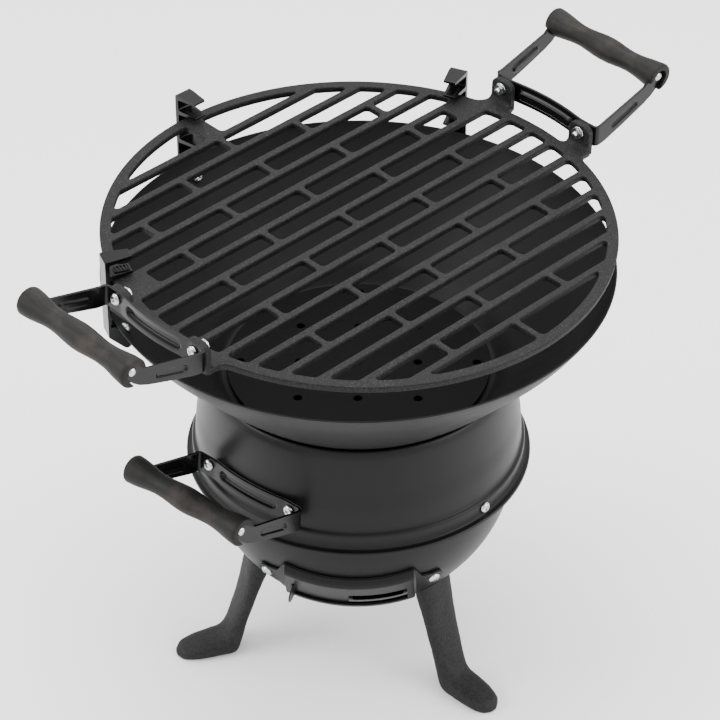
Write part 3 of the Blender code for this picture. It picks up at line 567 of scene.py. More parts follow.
def loft(rings):
    """Closed skin over rings that all have the same number of points."""
    mesh_data = bmesh.new()
    made = [[mesh_data.verts.new(spot) for spot in ring] for ring in rings]
    for first, second in zip(made, made[1:]):
        for i in range(len(first)):
            after = (i + 1) % len(first)
            mesh_data.faces.new((first[i], first[after], second[after], second[i]))
    mesh_data.faces.new(made[0][::-1])
    mesh_data.faces.new(made[-1])
    return mesh_data


def put(made, body, slot, *nodes):
    """Say what a piece moves with and which CAD solids it stands for. The slot argument is not used."""
    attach(made, body)
    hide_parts(*nodes)
    return made


# ---- places

TILTED = Matrix.Translation((0, GRATE_SHIFT, GRATE_TOP)) @ Matrix.Rotation(GRATE_TILT, 4, "X")
EAR_FACE = EAR_INNER + EAR_THICKNESS + 0.0003
GRATE_SEAT = Matrix.Translation((EAR_FACE, 0, BOLT_HEIGHT))
LEFT_SEAT = around_z(180) @ GRATE_SEAT @ Matrix.Rotation(-LEFT_HANDLE_PITCH, 4, "Y")
BODY_SEAT = (around_z(BODY_HANDLE_AZIMUTH) @ Matrix.Translation((BODY_HANDLE_X, 0, BODY_HANDLE_LEVEL))
             @ Matrix.Rotation(-BODY_HANDLE_PITCH, 4, "Y"))
HANDLES = {
    "right_handle": (TILTED @ GRATE_SEAT, "grate", EAR_THICKNESS + 0.0006),
    "left_handle": (TILTED @ LEFT_SEAT, "grate", EAR_THICKNESS + 0.0006),
    "body_handle": (BODY_SEAT, "stand", BODY_HANDLE_WALL),
}
VENT = (Matrix.Translation((0, 0, SPHERE_CENTRE)) @ Matrix.Rotation(VENT_AZIMUTH, 4, "Z")
        @ Matrix.Rotation(VENT_TILT, 4, "Y"))


# ---- cooking grate


def ring_x(y):
    return math.sqrt(max(0.0, RING_INNER ** 2 - y ** 2))


def slot_outline(low, high, left, right):
    def end(side, straight):
        if straight is not None:
            return [(straight, low, SLOT_CORNER), (straight, high, SLOT_CORNER)]
        inner = [low + (high - low) * i / 4 for i in (1, 2, 3)]
        spots = [(side * ring_x(low), low, SLOT_CORNER)]
        spots += [(side * ring_x(y), y) for y in inner]
        return spots + [(side * ring_x(high), high, SLOT_CORNER)]

    return rounded(end(1, right) + end(-1, left)[::-1])


def crescent_outline(edge, side, top):
    tip = 0.97 * ring_x(edge)
    near = BACK_PAD / 2 if top else BRIDGE_WIDTH / 2
    sign = 1 if top else -1
    sweep = [side * (tip + (near - tip) * i / 14) for i in range(1, 15)]
    curve = [(x, sign * ring_x(x)) for x in sweep]
    curve[-1] = (*curve[-1], SLOT_CORNER)
    return rounded([(side * near, edge, SLOT_CORNER), (side * tip, edge, 0.0012)] + curve)


def grate_slots():
    slots = []
    half = (ROW_PITCH - BAR_WIDTH) / 2
    for row in range(1, ROWS - 1):
        middle = ((ROWS - 1) / 2 - row) * ROW_PITCH
        low, high = middle - half, middle + half
        shift = 0.0 if row % 2 else 0.5
        reach = ring_x(max(abs(low), abs(high))) - 0.012
        bridges = [(k + shift) * BRIDGE_PITCH for k in range(-2, 2)]
        edges = [None]
        for x in bridges:
            if abs(x) < reach:
                edges += [x - BRIDGE_WIDTH / 2, x + BRIDGE_WIDTH / 2]
        edges.append(None)
        cells = list(zip(edges[::2], edges[1::2]))
        if row == SIDE_PAD_ROW:
            cells[0] = (-SIDE_PAD_X, cells[0][1])
            cells[-1] = (cells[-1][0], SIDE_PAD_X)
        slots += [slot_outline(low, high, left, right) for left, right in cells]
    edge = (ROWS - 1) / 2 * ROW_PITCH - half
    for side in (-1, 1):
        slots.append(crescent_outline(edge, side, True))
        slots.append(crescent_outline(-edge, side, False))
    return slots


def grate_outline():
    """Ring with two rounded lobes on each side, under the ears."""
    near = BOLT_SPACING / 2 - EAR_WIDTH / 2 - 0.001
    far = BOLT_SPACING / 2 + EAR_WIDTH / 2 + 0.001
    reach = EAR_INNER + EAR_THICKNESS - 0.0008
    inner_angle = math.degrees(math.asin((near - 0.0075) / R))
    outer_angle = math.degrees(math.asin((far + 0.011) / R))
    at_near = math.sqrt(R * R - near * near)
    at_far = math.sqrt(R * R - far * far)
    corners = []
    for turn in (1, -1):
        lobe = [(at_near, near, 0.007), (reach, near + 0.0003, 0.002), (reach, far - 0.0003, 0.003),
                (at_far, far, 0.011)]
        half = arc(R, 0, inner_angle, 6) + lobe + arc(R, outer_angle, 90, 40)
        quarter = [(x, y) if len(rest) == 0 else (x, y, *rest) for x, y, *rest in half]
        mirrored = [(-x, y, *rest) for x, y, *rest in reversed(quarter[:-1])]
        side = (quarter + mirrored)[:-1]
        corners += [(turn * x, turn * y, *rest) for x, y, *rest in side]
    return rounded(corners, 6)


def ear_mesh():
    """One upright ear: a plate on a filleted root, standing along local Y, its inner face at x = 0."""
    rings = []
    for step in range(25):
        z = -EAR_SUNK + (EAR_HEIGHT + EAR_SUNK) * step / 24
        root = max(0.0, 1 - max(0.0, z) / 0.0042)
        grow = EAR_FILLET * (1 - math.sqrt(max(0.0, 1 - root * root)))
        corner = max(0.0, z - (EAR_HEIGHT - EAR_CORNER)) / EAR_CORNER
        width = EAR_WIDTH / 2 - EAR_CORNER * (1 - math.sqrt(max(0.0, 1 - corner * corner))) * 0.85
        ring = rounded(rectangle(-grow, EAR_THICKNESS, -width, width, EAR_EDGE), 3)
        rings.append([(x, y, z) for x, y in ring])
    top = rings[-1]
    centre = Vector((EAR_THICKNESS / 2, 0))
    for shrink, rise in ((0.0004, 0.0003), (0.0011, 0.0005)):
        ring = []
        for x, y, z in top:
            way = Vector((x, y)) - centre
            ring.append((x - math.copysign(min(shrink, abs(way.x)), way.x),
                         y - math.copysign(min(shrink, abs(way.y)), way.y), z + rise - 0.0005))
        rings.append(ring)
    return loft(rings)


def make_grate(finish):
    low = -GRATE_THICKNESS
    profile = [(0.0013, low), (0.0007, low + 0.0003), (0.0004, low + 0.0010), (0.0, -0.0012),
               (0.00018, -0.0006), (0.0005, -0.00018), (0.0010, 0.0)]
    made = to_object("cooking_grate_casting", plate(grate_outline(), grate_slots(), profile), finish)
    for turn in (0, 180):
        for side in (-1, 1):
            ear = ear_mesh()
            ear.transform(around_z(turn) @ Matrix.Translation((EAR_INNER, side * BOLT_SPACING / 2, 0)))
            combine(made, ear, "UNION")
    made.data.transform(TILTED)
    weigh(made)
    put(made, "grate", "cast_iron", "cooking_grate")


# ---- handles


def bow(y):
    inside = max(0.0, 1 - (y / (BOWED_HALF + 0.001)) ** 2)
    return STRIP_BOW * inside ** 1.15


def strip_path():
    """Middle line of the strip in plan, from one arm's tip round to the other's, with its outward side."""
    middle = STRIP / 2
    bend = 0.0028  # radius of the fold
    xs = [0.0691, 0.0689, 0.0686, 0.0682, 0.0676, 0.0668, 0.0658, 0.0646, 0.0634, 0.0622]
    xs += [0.0608 - 0.0009 * i for i in range(63)]
    xs = [x for x in xs if x > middle + bend + 0.0002]
    half = [(x, -ARM_OFFSET) for x in xs]
    corner = arc(bend, 270, 180, 8, (middle + bend, -ARM_OFFSET + bend))
    count = 96
    start = -ARM_OFFSET + bend + 0.0008
    base = [(middle + bow(y), y) for y in [start - 2 * start * i / count for i in range(count + 1)]]
    other_side = [(x, -y) for x, y in corner[::-1] + half[::-1]]
    return half + corner + base + other_side


UNDER_EDGE = [(0.0, -0.0091), (0.0055, -0.0091), (0.010, -0.0084), (0.028, -0.0028), (0.050, 0.0048),
              (0.0575, 0.0083), (0.0630, 0.0125), (0.0677, 0.0183)]
OVER_EDGE = [(0.0, 0.0055), (0.0055, 0.0057), (0.010, 0.0068), (0.030, 0.0120), (0.050, 0.0172),
             (0.0603, 0.0252)]


def between(points, x):
    for (x0, y0), (x1, y1) in zip(points, points[1:]):
        if x <= x1:
            return y0 + (y1 - y0) * (x - x0) / (x1 - x0)
    return points[-1][1]


def arm_edges(x):
    """Lower and upper edge of an arm at a distance from the wall."""
    tip = 0.0052  # radius of the arm's round end
    away = x - GRIP_REACH
    span = math.sqrt(max(0.0, tip * tip - away * away))
    low = between(UNDER_EDGE, x) if x < 0.0677 else GRIP_RISE - span
    high = between(OVER_EDGE, x) if x < 0.0603 else GRIP_RISE + span
    return low, max(high, low + 0.0004)


def press(along, across, half_length, radius, depth, wall=0.0011):
    """Depth of a slot-shaped pressing at a place given along and across the strip."""
    beyond = max(0.0, abs(along) - (half_length - radius))
    away = math.hypot(beyond, across) - radius
    return depth * smooth(-away / wall)


ROW_MARKS = (-1, -0.9, -0.72, -0.56, -0.47, -0.42, -0.37, -0.32, -0.27, -0.22, -0.1, 0.0)


def make_bracket(prefix, place, body, finish):
    path = strip_path()
    marks = list(ROW_MARKS) + [-m for m in ROW_MARKS[-2::-1]]
    points, normals = [], []
    for i, (x, y) in enumerate(path):
        before = Vector(path[max(0, i - 1)])
        after = Vector(path[min(len(path) - 1, i + 1)])
        along = (after - before).normalized()
        side = Vector((-along.y, along.x, 0))
        on_arm = abs(y) > ARM_OFFSET - 1e-6
        low, high = arm_edges(x) if on_arm else (STRIP_LOW, STRIP_HIGH)
        column, facings = [], []
        for mark in marks:
            z = (low + high) / 2 + mark * (high - low) / 2
            if on_arm:
                along = x - 0.030
                lean = math.radians(17)
                rise = z - 0.0046
                shift = press(along * math.cos(lean) + rise * math.sin(lean),
                              rise * math.cos(lean) - along * math.sin(lean), 0.0140, 0.0030, 0.0015)
                push = Vector((0, -math.copysign(shift, y), 0))
            else:
                shift = press(y, z - EMBOSS_LEVEL, 0.0265, 0.0045, 0.0026, 0.0017)
                push = Vector((-shift, 0, 0))
            column.append(Vector((x, y, z)) + push)
            facings.append(side)
        points.append(column)
        normals.append(facings)
    made = to_object(prefix + "_strip", sheet(points, normals, STRIP, rim=0.0004), finish, place, 40)
    put(made, body, "gloss_black", prefix + "_bracket")


def grip_radius(t):
    """Radius along the grip, t from 0 to 1: thick ends, two waists and a fuller middle."""
    swell = 0.0011 * math.cos(4 * math.pi * t) - 0.0006 * math.cos(2 * math.pi * (t - 0.5))
    return GRIP_RADIUS - 0.0019 + swell


def grip_axis(place):
    """Middle of a handle's grip, with local Z along the grip."""
    return place @ Matrix.Translation((GRIP_REACH, 0, GRIP_RISE)) @ Matrix.Rotation(-math.pi / 2, 4, "X")


def make_grip(prefix, place, body, finish):
    half = GRIP_LENGTH / 2
    end = grip_radius(0)
    side = [(0.0060, half - 0.0002), (end - 0.0016, half), (end - 0.0005, half - 0.0004)]
    side += [(grip_radius(t / 40), half - 0.0014 - (GRIP_LENGTH - 0.0028) * t / 40) for t in range(41)]
    side += [(r, -z) for r, z in side[2::-1]]
    outline = [(0.0029, half)] + side + [(0.0029, -half)]
    seed = Vector((len(prefix) * 3.1, 0, 0))

    def worn(spot):
        push = noise.noise(spot * 60 + seed) * 0.00022 + noise.noise(spot * 210 + seed) * 0.00008
        flat = Vector((spot.x, spot.y, 0)).normalized()
        return spot + flat * push

    made = to_object(prefix + "_hand_grip", lathe(outline, 56, None, worn), finish)
    turn = Matrix.Rotation(-math.atan2(GRIP_RISE, GRIP_REACH - 0.044), 4, "Z")
    notch = [(-0.02, -0.0085), (0, -0.0058)] + arc(0.0058, -70, 70, 12) + [(0, 0.0058), (-0.02, 0.0085)]
    floor = ARM_OFFSET - STRIP / 2 - 0.0003
    for sign in (-1, 1):
        low, high = sorted((sign * floor, sign * (floor + 0.02)))
        combine(made, prism(notch, low, high, turn), "DIFFERENCE", 40)
    made.data.transform(grip_axis(place))
    put(made, body, "grip_wood", prefix + "_grip")


def make_rod(prefix, place, body, finish):
    face = ARM_OFFSET + STRIP / 2 + 0.0002
    cap = [(0.0, 0.00165), (0.0010, 0.00160), (0.0020, 0.00135), (0.0028, 0.0009), (0.0033, 0.0003),
           (0.0034, 0.0)]
    outline = [(r, face + z) for r, z in cap] + [(0.0025, face), (0.0025, -face)]
    outline += [(r, -face - z) for r, z in cap[::-1]]
    made = to_object(prefix + "_pin", lathe(outline, 28), finish, grip_axis(place))
    put(made, body, "zinc", prefix + "_rod")


# ---- fasteners


def screw_mesh(length, finish, size=1.0, thread_from=0.002):
    """Pan-head screw with a cross recess; local +Z points out of the head, the seat is at z = 0."""
    head, tall, shank = 0.0042 * size, 0.0026 * size, 0.0019
    dome = [(0, tall), (0.30 * head, 0.985 * tall), (0.55 * head, 0.92 * tall), (0.76 * head, 0.76 * tall),
            (0.92 * head, 0.50 * tall), (head, 0.22 * tall), (head, 0.06 * tall), (0.97 * head, 0)]
    outline = dome + [(shank, 0), (shank, -thread_from)]
    z = -thread_from
    pitch = 0.0008
    while z > -length + 2 * pitch:
        outline += [(shank, z - 0.12 * pitch), (0.00158, z - 0.5 * pitch), (shank, z - 0.88 * pitch)]
        z -= pitch
    outline += [(0.0016, -length + 0.0004), (0.0012, -length), (0, -length)]
    made = to_object("screw_master", lathe(outline, 24), finish)
    arm, thick = 0.58 * head, 0.15 * head
    for turn in (0, 90):
        blade = [(-arm, tall * 1.3), (arm, tall * 1.3), (0.35 * arm, tall * 0.25), (-0.35 * arm, tall * 0.25)]
        tool = prism(blade, -thick, thick, around_z(turn + 20) @ UPRIGHT)
        combine(made, tool, "DIFFERENCE", 30)
    return made


def nut_mesh(finish):
    """Flanged hexagon nut with chamfered corners; local +Z points away from its seat."""
    radius, tall = 0.0043, 0.003
    made = to_object("nut_master", prism(circle(0, 0, radius, 6), 0.0, tall), finish)
    chamfer = [(0, -0.001), (0.0060, -0.001), (0.0060, tall - 0.0010), (0.0034, tall + 0.0003),
               (0, tall + 0.0003)]
    combine(made, lathe(chamfer, 36), "INTERSECT", 30)
    flange = [(0, 0.0), (0.0043, 0.0), (0.00445, 0.0002), (0.0043, 0.0005), (0.0037, 0.0009), (0, 0.0009)]
    combine(made, lathe(flange, 36), "UNION", 30)
    bore = [(0, -0.001), (0.0021, -0.001), (0.0021, tall - 0.0004), (0.0026, tall + 0.001), (0, tall + 0.001)]
    combine(made, lathe(bore, 24), "DIFFERENCE", 30)
    return made


def fasten(master, name, node, number, seat, out, spin, body="stand"):
    """Copy a fastener into its seat, its local +Z along out."""
    mesh = master.data.copy()
    mesh.name = f"{name}_{number}"
    turn = out.to_track_quat("Z", "Y").to_matrix().to_4x4()
    mesh.transform(Matrix.Translation(seat) @ turn @ around_z(spin))
    put(add_object(f"{name}_{number}", mesh), body, "zinc", f"{node}_{number}")


def make_fasteners(finish):
    long_screw = screw_mesh(0.0131, finish)
    body_screw = screw_mesh(0.0163, finish)
    short_screw = screw_mesh(0.0080, finish, thread_from=0.0015)
    small_screw = screw_mesh(0.0100, finish, size=0.6)
    nut = nut_mesh(finish)
    spin = 11.0
    for prefix, (place, body, wall) in HANDLES.items():
        out = place.to_3x3() @ Vector((1, 0, 0))
        screw = body_screw if prefix == "body_handle" else long_screw
        for number, side in enumerate((-1, 1), 1):
            y = side * BOLT_SPACING / 2
            seat = place @ Vector((STRIP + GAP, y, 0))
            fasten(screw, prefix + "_machine_screw", prefix + "_screw", number, seat, out, spin, body)
            seat = place @ Vector((-wall, y, 0))
            fasten(nut, prefix + "_hex_nut", prefix + "_nut", number, seat, -out, spin * 2, body)
            spin += SPIN_STEP
    for number, (azimuth, turned) in enumerate(zip(LEG_AZIMUTHS, BELLY_AZIMUTHS), 1):
        seat = radial(turned, 0.6735 * R + GAP, BELLY_SCREW_LEVEL)
        fasten(short_screw, "belly_pan_screw", "belly_screw", number, seat, radial(turned, 1, 0), spin)
        seat = radial(azimuth, BOWL_BOLT_CIRCLE, level(-0.698) + SHEET + GAP)
        fasten(small_screw, "bowl_pan_bolt", "bowl_bolt", number, seat, Vector((0, 0, 1)), spin)
        out = radial(azimuth, math.cos(LEG_BOLT_LATITUDE), -math.sin(LEG_BOLT_LATITUDE))
        seat = Vector((0, 0, SPHERE_CENTRE)) + out * (SPHERE_RADIUS - SHEET - 0.0004)
        fasten(small_screw, "leg_pan_bolt", "leg_bolt", number, seat, -out, spin)
        spin += SPIN_STEP
    for number, azimuth in enumerate(SUPPORT_AZIMUTHS, 1):
        out = radial(azimuth, *SUPPORT_NORMAL)
        seat = radial(azimuth, 0.958 * R, level(-0.254)) - out * (SHEET + GAP)
        fasten(short_screw, "support_pan_screw", "support_screw", number, seat, -out, spin)
        spin += SPIN_STEP
    for number, side in enumerate((-1, 1), 1):
        angle = math.radians(side * VENT_SCREW_ANGLE)
        local = Vector((math.cos(angle), math.sin(angle), VENT_SCREW_HEIGHT / SPHERE_RADIUS)).normalized()
        out = VENT.to_3x3() @ local
        seat = VENT @ (local * (SPHERE_RADIUS + 0.0018))
        fasten(short_screw, "vent_pan_screw", "vent_screw", number, seat, out, spin)
        seat = VENT @ (local * (SPHERE_RADIUS - SHEET - GAP))
        fasten(nut, "vent_hex_nut", "vent_nut", number, seat, -out, spin)
        spin += SPIN_STEP
    for master in (long_screw, body_screw, short_screw, small_screw, nut):
        bpy.data.objects.remove(master, do_unlink=True)


# ---- shells

UPPER_WALL = Vector((0.985, -0.217))
LOWER_WALL = Vector((0.930, -0.293))
WALL_WAY = (LOWER_WALL - UPPER_WALL).normalized()
SUPPORT_NORMAL = (-WALL_WAY.y, WALL_WAY.x)


def scaled(points):
    return [Vector((p[0] * R, level(p[1]))) for p in points]


def make_fire_bowl(finish):
    wall = [(1.0056, -0.1823), (0.985, -0.217), (0.930, -0.293), (0.820, -0.415), (0.700, -0.540),
            (0.608, -0.627)]
    seat = [(0.608, -0.627), (0.596, -0.641), (0.575, -0.668), (0.556, -0.690), (0.538, -0.6975),
            (0.515, -0.698), (0.450, -0.698)]
    line = curve_through(wall, 8) + curve_through(seat, 4)[1:]
    outline = sheet_outline(scaled(line))
    made = to_object("fire_bowl_shell", lathe(outline, 160), finish)
    put(made, "stand", "satin_black", "fire_bowl")


def make_upper_shell(finish):
    """Pressed shell: seat under the bowl, a soft shoulder, a bead, a plain band and a double flange."""
    roof = curve_through([(0.450, -0.7075), (0.520, -0.7075), (0.548, -0.703), (0.572, -0.684),
                          (0.590, -0.660)], 4)
    shoulder = curve_through([(0.590, -0.660), (0.600, -0.6455), (0.606, -0.6365), (0.6135, -0.6340),
                              (0.6205, -0.6400), (0.6255, -0.6520), (0.6300, -0.6720), (0.6345, -0.7150),
                              (0.6385, -0.7600), (0.6450, -0.8300), (0.6500, -0.8700), (0.6545, -0.9100),
                              (0.6575, -0.9600), (0.6588, -0.9950)], 5)[1:]
    bead = curve_through([(0.6588, -0.9950), (0.6605, -1.0020), (0.6660, -1.0065), (0.6710, -1.0105),
                          (0.6735, -1.0160)], 4)[1:]
    band = [(0.6735, -1.024), (0.6732, -1.040), (0.6732, -1.056), (0.6738, -1.066)]
    flange = curve_through([(0.6738, -1.066), (0.6768, -1.0735), (0.6850, -1.0770), (0.6930, -1.0782),
                            (0.6968, -1.0815), (0.6972, -1.086), (0.6970, -1.0910)], 4)[1:]
    outline = sheet_outline(scaled(roof + shoulder + bead + band + flange))
    made = to_object("upper_shell_pressing", lathe(outline, 160), finish)
    put(made, "stand", "satin_black", "upper_shell")


def make_lower_bowl(finish):
    collar = scaled([(0.663, -1.024), (0.663, -1.060), (0.663, -1.088), (0.6585, -1.0955), (0.648, -1.106)])
    flat = math.acos(0.30 / 0.64)  # the flat bottom reaches out to 0.30 R
    start = math.radians(3)
    curve = []
    for i in range(34):
        latitude = start + (flat - start) * i / 33
        drop = SPHERE_RADIUS * math.sin(latitude)
        curve.append(Vector((SPHERE_RADIUS * math.cos(latitude), SPHERE_CENTRE - drop)))
    edge = curve[-1]
    floor = [Vector((edge.x - 0.0035, edge.y - 0.0010)), Vector((edge.x - 0.009, edge.y - 0.0014)),
             Vector((0.030, edge.y - 0.0014)), Vector((0.0, edge.y - 0.0014))]
    outline = sheet_outline(collar + curve + floor)
    outline = [p for p in outline if p[0] > 1e-6 or p[1] < edge.y + 0.004]
    made = to_object("lower_bowl_pressing", lathe(outline, 144), finish)
    near, far = 1.0, 19.4  # degrees from the middle of the vent
    opening = arc(0.100, near, far, 6) + arc(0.125, far, near, 6)
    combine(made, prism(opening, -0.0165, 0.0065, VENT), "DIFFERENCE")
    put(made, "stand", "satin_black", "lower_bowl")


def make_charcoal_plate(finish):
    grid = 0.167 * R
    holes = []
    for row in range(-2, 3):
        for column in range(-2, 3):
            x, y = row * grid, column * grid
            if (row + column) % 2 == 0 and math.hypot(x, y) < 0.48 * R:
                holes.append(circle(x, y, 0.003, 28))
    edge = 0.0004
    profile = [(edge, 0.0), (0.0, edge), (0.0, PLATE_THICKNESS - edge), (edge, PLATE_THICKNESS)]
    disc = plate(circle(0, 0, PLATE_RADIUS, 144), holes, profile)
    made = to_object("charcoal_disc", disc, finish, Matrix.Translation((0, 0, PLATE_BOTTOM)))
    weigh(made)
    put(made, "charcoal_plate", "satin_black", "charcoal_plate")


# ---- supports


SUPPORT_OUTER = 0.1825
SUPPORT_ROOT = 0.1794
SUPPORT_TIP = 0.1629
SUPPORT_TOP = 0.3835
SUPPORT_HALF = 0.0065
TOOTH_PITCH = 0.012
RIB_FLOOR = SUPPORT_TOP - 0.0122  # just under the top of the second tooth


def support_outline():
    """Side view of a support as (radius, height, corner radius)."""
    upper = UPPER_WALL * R + Vector(SUPPORT_NORMAL) * 0.0006
    upper.y += GRATE_TOP
    foot_start = upper + WALL_WAY * 0.002
    foot_end = upper + WALL_WAY * 0.0175
    outline = [(SUPPORT_OUTER, 0.3185), (SUPPORT_OUTER, SUPPORT_TOP, 0.0012)]
    for tooth in range(4):
        over = SUPPORT_TOP - TOOTH_PITCH * tooth
        outline += [(SUPPORT_TIP, over, 0.0007), (SUPPORT_TIP, over - 0.0022, 0.0007),
                    (SUPPORT_ROOT, over - 0.0032, 0.0012)]
        if tooth < 3:
            outline.append((SUPPORT_ROOT, over - TOOTH_PITCH, 0.0012))
    toe = (foot_end.x + 0.005, foot_end.y - 0.004, 0.003)
    return rounded(outline + [(SUPPORT_ROOT, 0.3285), tuple(foot_start), tuple(foot_end), toe], 3)


def support_trims():
    """What is cut away at each side: the teeth's taper and a shallow pocket."""
    trims = bmesh.new()
    for side in (-1, 1):
        wedge = [(SUPPORT_OUTER - 0.004, side * 0.0066), (0.155, side * 0.0066), (0.155, side * 0.0034)]
        add_prism(trims, facing(wedge, 1), 0.330, 0.39)
        near, far = side * 0.0048, side * 0.008
        add_prism(trims, facing(rectangle(0.1762, 0.1806, near, far), 1), 0.3265, 0.3440)
    return trims


def make_supports(finish):
    outline = support_outline()
    for number, (azimuth, lift) in enumerate(zip(SUPPORT_AZIMUTHS, SUPPORT_LIFTS), 1):
        casting = prism(outline, -SUPPORT_HALF, SUPPORT_HALF, UPRIGHT)
        made = to_object(f"grate_support_casting_{number}", casting, finish)
        combine(made, support_trims(), "DIFFERENCE")
        ribs = bmesh.new()
        for index in range(4):
            x = 0.1655 + 0.0024 * index
            rib = rectangle(x, x + 0.0010, -0.0026, 0.0026)
            add_prism(ribs, rib, RIB_FLOOR, SUPPORT_TOP - 0.0110)
        frame_outer = rounded(rectangle(0.1640, 0.1752, -0.0036, 0.0036, 0.0012), 3)
        frame_hole = inset(frame_outer, 0.0008)
        border = plate(frame_outer, [frame_hole], [(0.0, RIB_FLOOR), (0.0, SUPPORT_TOP - 0.0112)])
        combine(made, ribs, "UNION")
        combine(made, border, "UNION")
        soften(made, 0.00035, 2, 40)
        for vertex in made.data.vertices:
            vertex.co.z += lift * smooth((vertex.co.z - 0.328) / 0.012)
        made.data.transform(around_z(azimuth))
        put(made, "stand", "gloss_black", f"grate_support_{number}")


# ---- legs

# Outer point, inner point and half width of a leg, from the bowl down to the toe
LEG_STATIONS = [
    ((0.0830, 0.0960), (0.0665, 0.0880), 0.0146),
    ((0.0860, 0.0800), (0.0700, 0.0760), 0.0142),
    ((0.0889, 0.0640), (0.0765, 0.0610), 0.0138),
    ((0.0928, 0.0470), (0.0830, 0.0430), 0.0134),
    ((0.0972, 0.0330), (0.0885, 0.0265), 0.0130),
    ((0.1012, 0.0222), (0.0925, 0.0100), 0.0126),
    ((0.1062, 0.0158), (0.0976, -0.0010), 0.0126),
    ((0.1150, 0.0122), (0.1120, -0.0010), 0.0130),
    ((0.1258, 0.0103), (0.1258, -0.0010), 0.0121),
    ((0.1355, 0.0083), (0.1360, -0.0010), 0.0091),
    ((0.1398, 0.0055), (0.1403, 0.0005), 0.0043),
]


def leg_rings(seed):
    outer = curve_through([s[0] for s in LEG_STATIONS], 7)
    inner = curve_through([s[1] for s in LEG_STATIONS], 7)
    wide = curve_through([(s[2], 0) for s in LEG_STATIONS], 7)
    rings = []
    around = 40
    for out, back, width in zip(outer, inner, wide):
        middle, reach = (out + back) / 2, (out - back) / 2
        ring = []
        for step in range(around):
            angle = 2 * math.pi * (step + 0.5) / around
            depth = math.copysign(abs(math.cos(angle)) ** 0.7, math.cos(angle))
            across = math.copysign(abs(math.sin(angle)) ** 0.7, math.sin(angle))
            spot = middle + reach * depth
            place = Vector((spot.x, width.x * across, spot.y))
            push = noise.noise(place * 420 + seed) * 0.00016 + noise.noise(place * 110 + seed) * 0.00022
            place += Vector((reach.x * depth, width.x * across, reach.y * depth)).normalized() * push
            place.z = max(0.0, place.z)
            ring.append(place)
        rings.append(ring)
    tip = rings[-1]
    centre = sum(tip, Vector()) / len(tip)
    for share, ahead in ((0.72, 0.0008), (0.35, 0.0011)):
        rings.append([centre + (spot - centre) * share + Vector((ahead, 0, 0)) for spot in tip])
    return rings


def make_legs(finish):
    size = SPHERE_RADIUS + 0.0004
    ball = [(0.0, size)]
    for i in range(1, 64):
        angle = math.pi * i / 64
        ball.append((size * math.sin(angle), size * math.cos(angle)))
    ball.append((0.0, -size))
    for number, azimuth in enumerate(LEG_AZIMUTHS, 1):
        rings = leg_rings(Vector((number * 5.0, 0, 0)))
        made = to_object(f"leg_casting_{number}", loft(rings), finish, None, 50)
        combine(made, lathe(ball, 96, Matrix.Translation((0, 0, SPHERE_CENTRE))), "DIFFERENCE", 50)
        made.data.transform(around_z(azimuth))
        put(made, "stand", "cast_iron", f"leg_{number}")


# ---- vent

FRAME_LOW = -0.018
FRAME_HIGH = 0.0248
FRAME_END = 24.0
PLATEAU = 0.1173  # inner radius of the front sheet
EAR_EYE = 0.0071
PER_DEGREE = 0.1145 * math.pi / 180  # length of one degree along the band
FRAME_ROWS = [0.0, 0.025, 0.055, 0.085, 0.12, 0.17, 0.235, 0.355, 0.475, 0.596, 0.66, 0.73, 0.80, 0.86, 0.90,
              0.935, 0.965, 0.985, 1.0]
WINDOW_ROWS = (4, 9)  # rows of the frame between which its window lies
WINDOW_SIDE = 20.5
TAB_ANGLE = -19.6


def frame_edges(degrees):
    """Lower and upper edge of the vent frame's outline at an angle from its middle."""
    away = abs(degrees)
    if away <= FRAME_END:
        return FRAME_LOW, FRAME_HIGH
    beyond = (away - FRAME_END) * PER_DEGREE
    reach = (VENT_SCREW_ANGLE - FRAME_END) * PER_DEGREE
    if beyond < reach:
        fall = smooth(beyond / (reach * 0.42))
        slide = smooth((beyond / reach - 0.3) / 0.7)
        low = (FRAME_LOW + 0.0012) * (1 - fall) + (VENT_SCREW_HEIGHT - 0.0098) * fall
        high = (FRAME_HIGH - 0.0012) * (1 - fall) + (VENT_SCREW_HEIGHT + 0.0102) * fall
        return (low * (1 - slide) + (VENT_SCREW_HEIGHT - EAR_EYE) * slide,
                high * (1 - slide) + (VENT_SCREW_HEIGHT + EAR_EYE) * slide)
    span = math.sqrt(max(0.0, EAR_EYE * EAR_EYE - (beyond - reach) ** 2))
    return VENT_SCREW_HEIGHT - span, VENT_SCREW_HEIGHT + span


def vent_columns():
    tip = VENT_SCREW_ANGLE + EAR_EYE / PER_DEGREE
    ear = [tip - 0.06 - (tip - FRAME_END - 0.3) * (1 - math.cos(math.pi * i / 30)) / 2 for i in range(31)]
    corner = [24.0, 23.8, 23.5, 23.2, 22.9, 22.5, 22.0, 21.3, WINDOW_SIDE]
    middle = [WINDOW_SIDE * (1 - i / 16) for i in range(1, 17)]
    right = ear + corner + middle
    return right, [-d for d in right[-2::-1]]


